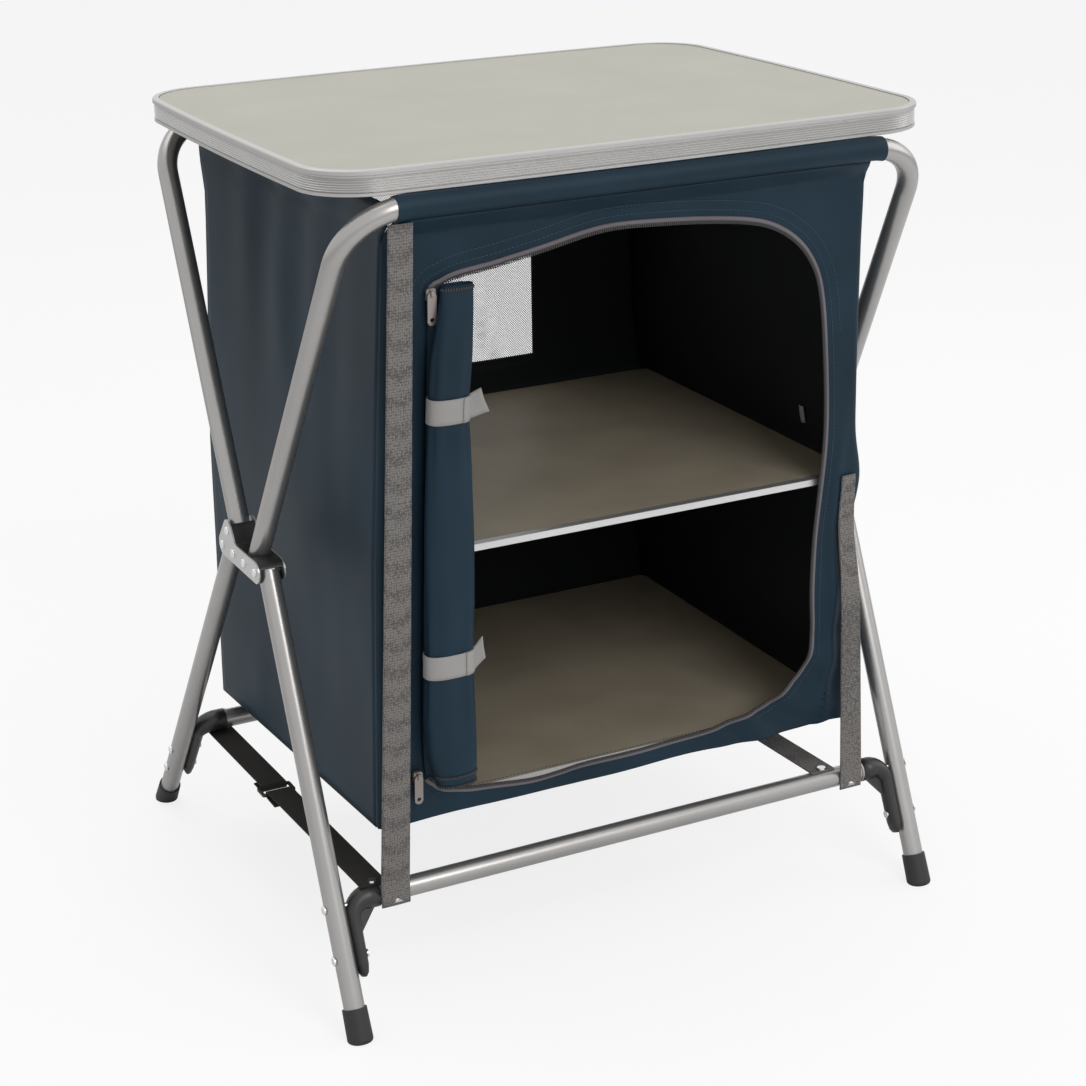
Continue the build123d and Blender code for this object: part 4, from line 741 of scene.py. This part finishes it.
# Hook-and-loop bands
# Each woven band goes once round the roll, laps over itself in front, and its free end stands
# off at the right, slanting up.
BAND_HALF = 0.0115
BAND_THICKNESS = 0.0009
BAND_LIFT = 0.0013
TAIL_SHARES = (1.0, 0.8, 0.6, 0.4, 0.2)
LAP_START = -0.25
LAP_END = LAP_START - 2 * math.pi - 0.9
band_weave = coated_cloth("loop_band", (0.265, 0.258, 0.250), (0.315, 0.305, 0.295), 0.8, 3600.0)
for name, node, level, tail_out, tail_rise, lean in (
    ("upper_band", "upper_roll_strap", UPPER_BAND, 0.0135, 0.0050, 0.0045),
    ("lower_band", "lower_roll_strap", LOWER_BAND, 0.0085, 0.0110, 0.0015),
):
    rows = []
    for v in np.linspace(-1.0, 1.0, 7):
        z = level + BAND_HALF * v
        ring = [roll_point(a, z, -BAND_LIFT, 0.0) for a in np.linspace(LAP_START, LAP_END, 62)]
        ring = [p + np.array([0, -0.0011, 0]) * smooth(50, 61, i) for i, p in enumerate(ring)]
        tail = [
            ring[0] + np.array([(tail_out - lean * v) * t, -0.0030 * t * t, tail_rise * t])
            for t in TAIL_SHARES
        ]
        rows.append(tail + ring)
    band = cloth_sheet(name, rows, BAND_THICKNESS, [band_weave], (0, -1, 0))
    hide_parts(node)
    fold_with_front(band)

# Side walls
# Each side is a sheet that the boards push out a little. It goes up under the rim, with a
# sewn crease where the top hem starts and shallow folds that hang from it.
SIDE_ROWS, SIDE_COLUMNS = 70, 50
TAB_Y, TAB_Z = (-0.152, -0.144), (0.474, 0.492)
TAB_THICKNESS = 0.0010
BACK_FOOT = 0.150
BACK_Y_LOW, BACK_Y_LINE_TOP = 0.2112, 0.1972
BACK_STEP_OUT = 0.0195
TUCK_FROM, TUCK_TO = 0.758, 0.766


def back_y(z):
    """The back wall's line; near the top it steps out to the rear bar."""
    line = lerp(BACK_Y_LOW, BACK_Y_LINE_TOP, (z - LINE_LOW) / (LINE_TOP - LINE_LOW))
    return line + BACK_STEP_OUT * smooth(0.695, 0.757, z)


def back_point(x, z, lift=0.0):
    out = 0.0026 * noise.noise(Vector((x * 7.0, 21.0, z * 6.0))) * smooth(HEM, 0.74, z)
    return np.array([x, back_y(z) + out * smooth(BACK_FOOT, 0.18, z) + lift, z])


def side_grid(sign):
    """Points of a side wall: slack between the boards, folds under the hem and a sewn crease."""
    rows = []
    for v in np.linspace(0.0, 1.0, SIDE_ROWS):
        row = []
        for u in np.linspace(0.0, 1.0, SIDE_COLUMNS):
            z = lerp(lerp(FRONT_FOOT, BACK_FOOT, u), SIDE_TOP, v)
            half = half_width(z, sign > 0)
            first = lerp(front_y(z) + CORNER, -0.2650, smooth(TUCK_FROM, TUCK_TO, z))
            last = lerp(back_point(sign * half, z, 0.0006)[1], 0.2000, smooth(0.755, 0.766, z))
            y = lerp(first, last, u)
            wave = math.sin(u * math.pi)
            out = 0.0045 * noise.noise(Vector((5.0 * sign, y * 6.0, z * 4.0))) * wave
            out += 0.0018 * noise.noise(Vector((9.0 * sign, y * 17.0, z * 6.0))) * wave
            out -= 0.0060 * wave * (1.0 - bell(z, SHELF, 0.10) - bell(z, 0.187, 0.07))
            fold = math.sin(y * 62.0 + 7.0 * (z - 0.45))
            out += 0.0016 * fold * wave * smooth(0.50, 0.70, z)
            crease = lerp(0.7435, 0.7365, u)
            out -= 0.0026 * bell(z, crease, 0.0035) * smooth(0.0, 0.06, u)
            out += 0.0022 * smooth(crease, crease + 0.012, z)
            row.append((sign * (half + out * smooth(0.0, 0.03, v) * smooth(1.0, 0.97, u)), y, z))
        rows.append(row)
    return rows


def fold_with_rear(piece):
    """The piece rides on the rear upper frame and gets a mesh of its own."""
    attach(piece, "rear_upper_frame")
    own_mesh(piece)


for side, sign in SIDES:
    wall = cloth_sheet(f"{side}_wall", side_grid(sign), CLOTH, [navy_cloth, lining], (sign, 0, 0))
    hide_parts(f"fabric_{side}_side")
    fold_with_rear(wall)
tab_rows = []
for z in np.linspace(*TAB_Z, 5):
    inside = half_width(z, True) - 0.0040
    tab_rows.append([
        (inside - 0.002 * math.sin(t * math.pi), lerp(*TAB_Y, t), z) for t in np.linspace(0, 1, 5)
    ])
inner_tab = cloth_sheet("inner_tab", tab_rows, TAB_THICKNESS, [band_weave], (-1, 0, 0))
fold_with_rear(inner_tab)

# Back wall and its window
# The back is a sheet round a nearly square hole; a fine knitted net is sewn behind the hole.
WINDOW = ((-0.1203, 0.4797), (0.1203, 0.6903))
WINDOW_STEP = 0.010
BACK_RINGS = 24
NET_MARGIN = 0.001
NET_THICKNESS = 0.0003
NET_GRID = 18
NET_STRANDS = 1150.0
NET_STRAND_SHARE = 0.33


def box_loop(low, high, step):
    corners = np.array([(low[0], low[1]), (low[0], high[1]), (high[0], high[1]), (high[0], low[1])])
    return even_steps(np.vstack([corners, corners[:1]]), step)[:-1]


def back_edge(p):
    """The place on the back wall's outer edge that a place on the window's edge runs out to."""
    across, up = ((p[k] - WINDOW[0][k]) / (WINDOW[1][k] - WINDOW[0][k]) for k in (0, 1))
    z = lerp(BACK_FOOT, HEM, up)
    return np.array([lerp(-half_width(z), half_width(z, True), across), z])


window_loop = box_loop(*WINDOW, WINDOW_STEP)
back_edges = [back_edge(p) for p in window_loop]
back_rows = [
    [back_point(*lerp(p, q, share), CLOTH) for p, q in zip(window_loop, back_edges)]
    for share in np.linspace(0.0, 1.0, BACK_RINGS)
]
back_wall = cloth_sheet("back_wall", back_rows, CLOTH, [navy_cloth, lining], (0, 1, 0), loop=True)
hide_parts("fabric_back")
fold_with_rear(back_wall)


def knitted_net():
    """Fine dark net: diagonal strands with clear gaps between them."""
    mat, shader = new_finish("window_mesh", (0.10, 0.105, 0.11), 0.7)
    tree = mat.node_tree
    axes = place_parts(mat, object_place(mat))
    strands = []
    for sign in (1.0, -1.0):
        diagonal = arithmetic(mat, "ADD", axes[0], arithmetic(mat, "MULTIPLY", axes[2], sign))
        wave = arithmetic(mat, "SINE", arithmetic(mat, "MULTIPLY", diagonal, NET_STRANDS))
        strands.append(arithmetic(mat, "LESS_THAN", arithmetic(mat, "ABSOLUTE", wave), NET_STRAND_SHARE))
    clear = tree.nodes.new("ShaderNodeBsdfTransparent")
    mix = tree.nodes.new("ShaderNodeMixShader")
    tree.links.new(arithmetic(mat, "MAXIMUM", *strands), mix.inputs[0])
    tree.links.new(clear.outputs[0], mix.inputs[1])
    tree.links.new(shader.outputs[0], mix.inputs[2])
    tree.links.new(mix.outputs[0], tree.nodes["Material Output"].inputs["Surface"])
    return mat


def net_point(x, z):
    sag = 0.0016 * bell(x + 0.4 * (z - 0.58), 0.03, 0.012)
    return back_point(x, z, -0.0002) - np.array([0.0, sag, 0.0])


net_rows = [
    [net_point(x, z) for x in np.linspace(WINDOW[0][0] - NET_MARGIN, WINDOW[1][0] + NET_MARGIN, NET_GRID)]
    for z in np.linspace(WINDOW[0][1] - NET_MARGIN, WINDOW[1][1] + NET_MARGIN, NET_GRID)
]
window_net = cloth_sheet("window_net", net_rows, NET_THICKNESS, [knitted_net()], (0, 1, 0))
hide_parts("mesh_window")
fold_with_rear(window_net)

# Floor of the cabinet and sleeves
# The bottom cloth hangs a little slack under the base board. The hems wrap the upper bars as
# sleeves; each copy keeps its solid's shape.
BOTTOM_LOW, BOTTOM_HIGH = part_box("fabric_bottom")
BOTTOM_SLACK = 0.0012
BOTTOM_THICKNESS = 0.0010


def bottom_point(u, v):
    slack = BOTTOM_SLACK * math.sin(u * math.pi) * math.sin(v * math.pi)
    slack *= 1.0 + 0.8 * noise.noise(Vector((u * 5.0, v * 5.0, 33.0)))
    x, y = (lerp(BOTTOM_LOW[k], BOTTOM_HIGH[k], share) for k, share in ((0, u), (1, v)))
    return x, y, BOTTOM_LOW[2] + 0.0002 - slack


bottom_rows = [[bottom_point(u, v) for u in np.linspace(0, 1, 30)] for v in np.linspace(0, 1, 26)]
bottom_cloth = cloth_sheet("bottom_cloth", bottom_rows, BOTTOM_THICKNESS, [navy_cloth, lining], (0, 0, -1))
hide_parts("fabric_bottom")
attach(bottom_cloth, "base_shelf")
for end in ("front", "rear"):
    sleeve = copy_of(f"{end}_sleeve", f"{end}_sleeve_cloth", navy_cloth)
    for polygon in sleeve.data.polygons:
        polygon.use_smooth = True
    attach(sleeve, f"{end}_upper_frame")

# Straps and floor webs
# Grey ribbed webbing. The left strap runs straight from the hem to the front bar, the right one
# from the cabinet's corner; both lap over the bar and are riveted. Webs join the two bottom bars
# near the floor: two in line on the left, coloured darker as painted shade from the cabinet above
# them, and a grey one on the right.


def ribbed_webbing(name, low, high):
    mat, shader = new_finish(name, high, 0.8, specular=0.2)
    place = object_place(mat, (1.0, 1.0, 0.62))
    cells = mat.node_tree.nodes.new("ShaderNodeTexVoronoi")
    cells.inputs["Scale"].default_value = 620.0
    cells.inputs["Randomness"].default_value = 0.4
    mat.node_tree.links.new(place, cells.inputs["Vector"])
    two_tones(mat, shader, cells.outputs["Distance"], high, low)
    height = arithmetic(mat, "SUBTRACT", 1.0, cells.outputs["Distance"])
    relief(mat, shader, height, strength=0.8, distance=0.001)
    return mat


webbing = ribbed_webbing("grey_webbing", (0.080, 0.075, 0.072), (0.205, 0.193, 0.184))
# Painted shade: a near-black copy of the grey webbing for the left floor webs under the cabinet.
webbing_in_painted_shade = coated_cloth("webbing_in_painted_shade", (0.022, 0.021, 0.018), (0.034, 0.032, 0.028), 0.75, 3600.0)
# The straps' places are a height and a depth: the left strap's top, where both meet the front bar,
# and the height of their cut ends below it.
STRAP_TOP = (0.7630, -0.2858)
STRAP_LOW = (0.1290, -0.2462)
STRAP_END = 0.1068
RIGHT_STRAP_TOP = 0.448
STRAP_LEAVES_WALL = (0.446, 0.30)
STRAP_ROWS = 80
STRAP_THICKNESS = 0.0013


def left_strap_row(z):
    up = max(0.0, (z - STRAP_LOW[0]) / (STRAP_TOP[0] - STRAP_LOW[0]))
    y = lerp(STRAP_LOW[1], STRAP_TOP[1], up)
    middle = lerp(-0.2560, -0.2410, up)
    half = lerp(0.0145, 0.0115, up)
    return [(middle + half * u, y - 0.0004 * (1 - u * u), z) for u in np.linspace(-1, 1, 9)]


def right_strap_row(z):
    flat = smooth(*STRAP_LEAVES_WALL, z)
    row = []
    for u in np.linspace(-1, 1, 13):
        wrapped = front_point(0.2405 + 0.0082 * u, z, 0.0028)
        hang = max(0.0, (z - STRAP_LOW[0]) / (STRAP_LEAVES_WALL[0] - STRAP_LOW[0]))
        x = lerp(0.2520, 0.2440, hang) + lerp(0.0125, 0.0100, hang) * u
        straight = np.array([x, lerp(STRAP_LOW[1], -0.2450, hang), z])
        row.append(lerp(wrapped, straight, flat))
    return row


for side, row_at, top, body, across, bar, keep in (
    ("left", left_strap_row, STRAP_TOP[0], "front_upper_frame", FRONT_TUBE_ACROSS, FRONT_BAR, 0.1),
    ("right", right_strap_row, RIGHT_STRAP_TOP, "front_lower_frame", (0.0, 0.0, 1.0), FRONT_LOW_BAR, 0.35),
):
    strap_rows = [row_at(z) for z in np.linspace(STRAP_END, top, STRAP_ROWS)]
    strap = cloth_sheet(f"{side}_strap", strap_rows, STRAP_THICKNESS, [webbing], (0, -1, 0))
    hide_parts(f"{side}_vertical_strap")
    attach(strap, body)
    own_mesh(strap)
# The two left floor webs take the webbing darkened as painted shade; the right one stays grey.
for node, mat, length in (
    ("right_floor_web", webbing, 0.435), ("left_front_floor_web", webbing_in_painted_shade, 0.257),
    ("left_rear_floor_web", webbing_in_painted_shade, 0.172),
):
    web = copy_of(node, f"{node}_cloth", mat)
    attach(web, "front_lower_frame")
    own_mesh(web)
dress(rivet_steel, "front_strap_rivets", "rear_strap_rivets")
dress(black_plastic, "floor_web_buckle")

# Floor, lights and camera
# A white floor that keeps only a faint shadow, and broad soft lights; the camera is the one
# solved from the photograph.
FLOOR_HALF = 12.0
FLOOR_TOP = -0.0005
PLAIN_SHARE = 0.8
WORLD_LIGHT = 0.58
LIGHT_AIM = Vector((0.0, 0.0, 0.4))


def pale_floor():
    mat = new_finish("floor", (0.95, 0.95, 0.95), 0.8, specular=0.0)[0]
    tree = mat.node_tree
    rays = tree.nodes.new("ShaderNodeLightPath")
    glow = tree.nodes.new("ShaderNodeEmission")
    mix = tree.nodes.new("ShaderNodeMixShader")
    share = arithmetic(mat, "MULTIPLY", rays.outputs["Is Camera Ray"], PLAIN_SHARE)
    tree.links.new(share, mix.inputs[0])
    tree.links.new(tree.nodes["Principled BSDF"].outputs[0], mix.inputs[1])
    tree.links.new(glow.outputs[0], mix.inputs[2])
    tree.links.new(mix.outputs[0], tree.nodes["Material Output"].inputs["Surface"])
    return mat


floor_corners = [(x * FLOOR_HALF, y * FLOOR_HALF, FLOOR_TOP) for x, y in ((-1, -1), (1, -1), (1, 1), (-1, 1))]
floor = make_object("floor", floor_corners, [(0, 1, 2, 3)], [pale_floor()])
scene = bpy.context.scene
world = bpy.data.worlds.new("world")
world.use_nodes = True
sky = world.node_tree
rays = sky.nodes.new("ShaderNodeLightPath").outputs
seen = arithmetic(world, "MAXIMUM", rays["Is Camera Ray"], rays["Is Glossy Ray"])
seen = arithmetic(world, "MAXIMUM", seen, rays["Is Transmission Ray"])
level = sky.nodes.new("ShaderNodeMapRange")
level.inputs["To Min"].default_value = WORLD_LIGHT
level.inputs["To Max"].default_value = 1.0
sky.links.new(seen, level.inputs["Value"])
sky.nodes["Background"].inputs[0].default_value = (1.0, 1.0, 1.0, 1.0)
sky.links.new(level.outputs["Result"], sky.nodes["Background"].inputs[1])
scene.world = world
scene.view_settings.view_transform = "Standard"


def area_light(name, place, size, power):
    data = bpy.data.lights.new(name, "AREA")
    data.energy = power
    data.size = size
    obj = bpy.data.objects.new(name, data)
    obj.location = place
    obj.rotation_euler = (LIGHT_AIM - Vector(place)).to_track_quat("-Z", "Y").to_euler()
    scene.collection.objects.link(obj)


area_light("key", (0.3, -2.8, 2.3), size=1.5, power=38.0)
area_light("side", (2.6, -0.9, 1.6), size=1.8, power=14.0)
area_light("top", (-0.4, 0.8, 3.0), size=2.2, power=20.0)

AZIMUTH = math.radians(-26.17)
ELEVATION = math.radians(19.39)
CAMERA_ROLL = math.radians(-1.27)
FOCAL_PIXELS = 2351.9
IMAGE_PIXELS = 1086.0
PRINCIPAL = (532.87, 499.74)
SENSOR_MM = 36.0
DISTANCE = 2.39501
CAMERA_AIM = Vector((0.0, -0.034, 0.4))
back = Vector((
    math.sin(AZIMUTH) * math.cos(ELEVATION), -math.cos(AZIMUTH) * math.cos(ELEVATION), math.sin(ELEVATION)
))
level_right = Vector((math.cos(AZIMUTH), math.sin(AZIMUTH), 0.0))
upward = back.cross(level_right)
right = level_right * math.cos(CAMERA_ROLL) + upward * math.sin(CAMERA_ROLL)
camera_data = bpy.data.cameras.new("camera")
camera_data.sensor_width = SENSOR_MM
camera_data.lens = FOCAL_PIXELS / IMAGE_PIXELS * SENSOR_MM
camera_data.shift_x = (IMAGE_PIXELS / 2 - PRINCIPAL[0]) / IMAGE_PIXELS
camera_data.shift_y = (PRINCIPAL[1] - IMAGE_PIXELS / 2) / IMAGE_PIXELS
camera = bpy.data.objects.new("camera", camera_data)
turned = Matrix((right, back.cross(right), back)).transposed().to_4x4()
camera.matrix_world = Matrix.Translation(CAMERA_AIM + back * DISTANCE) @ turned
scene.collection.objects.link(camera)
scene.camera = camera
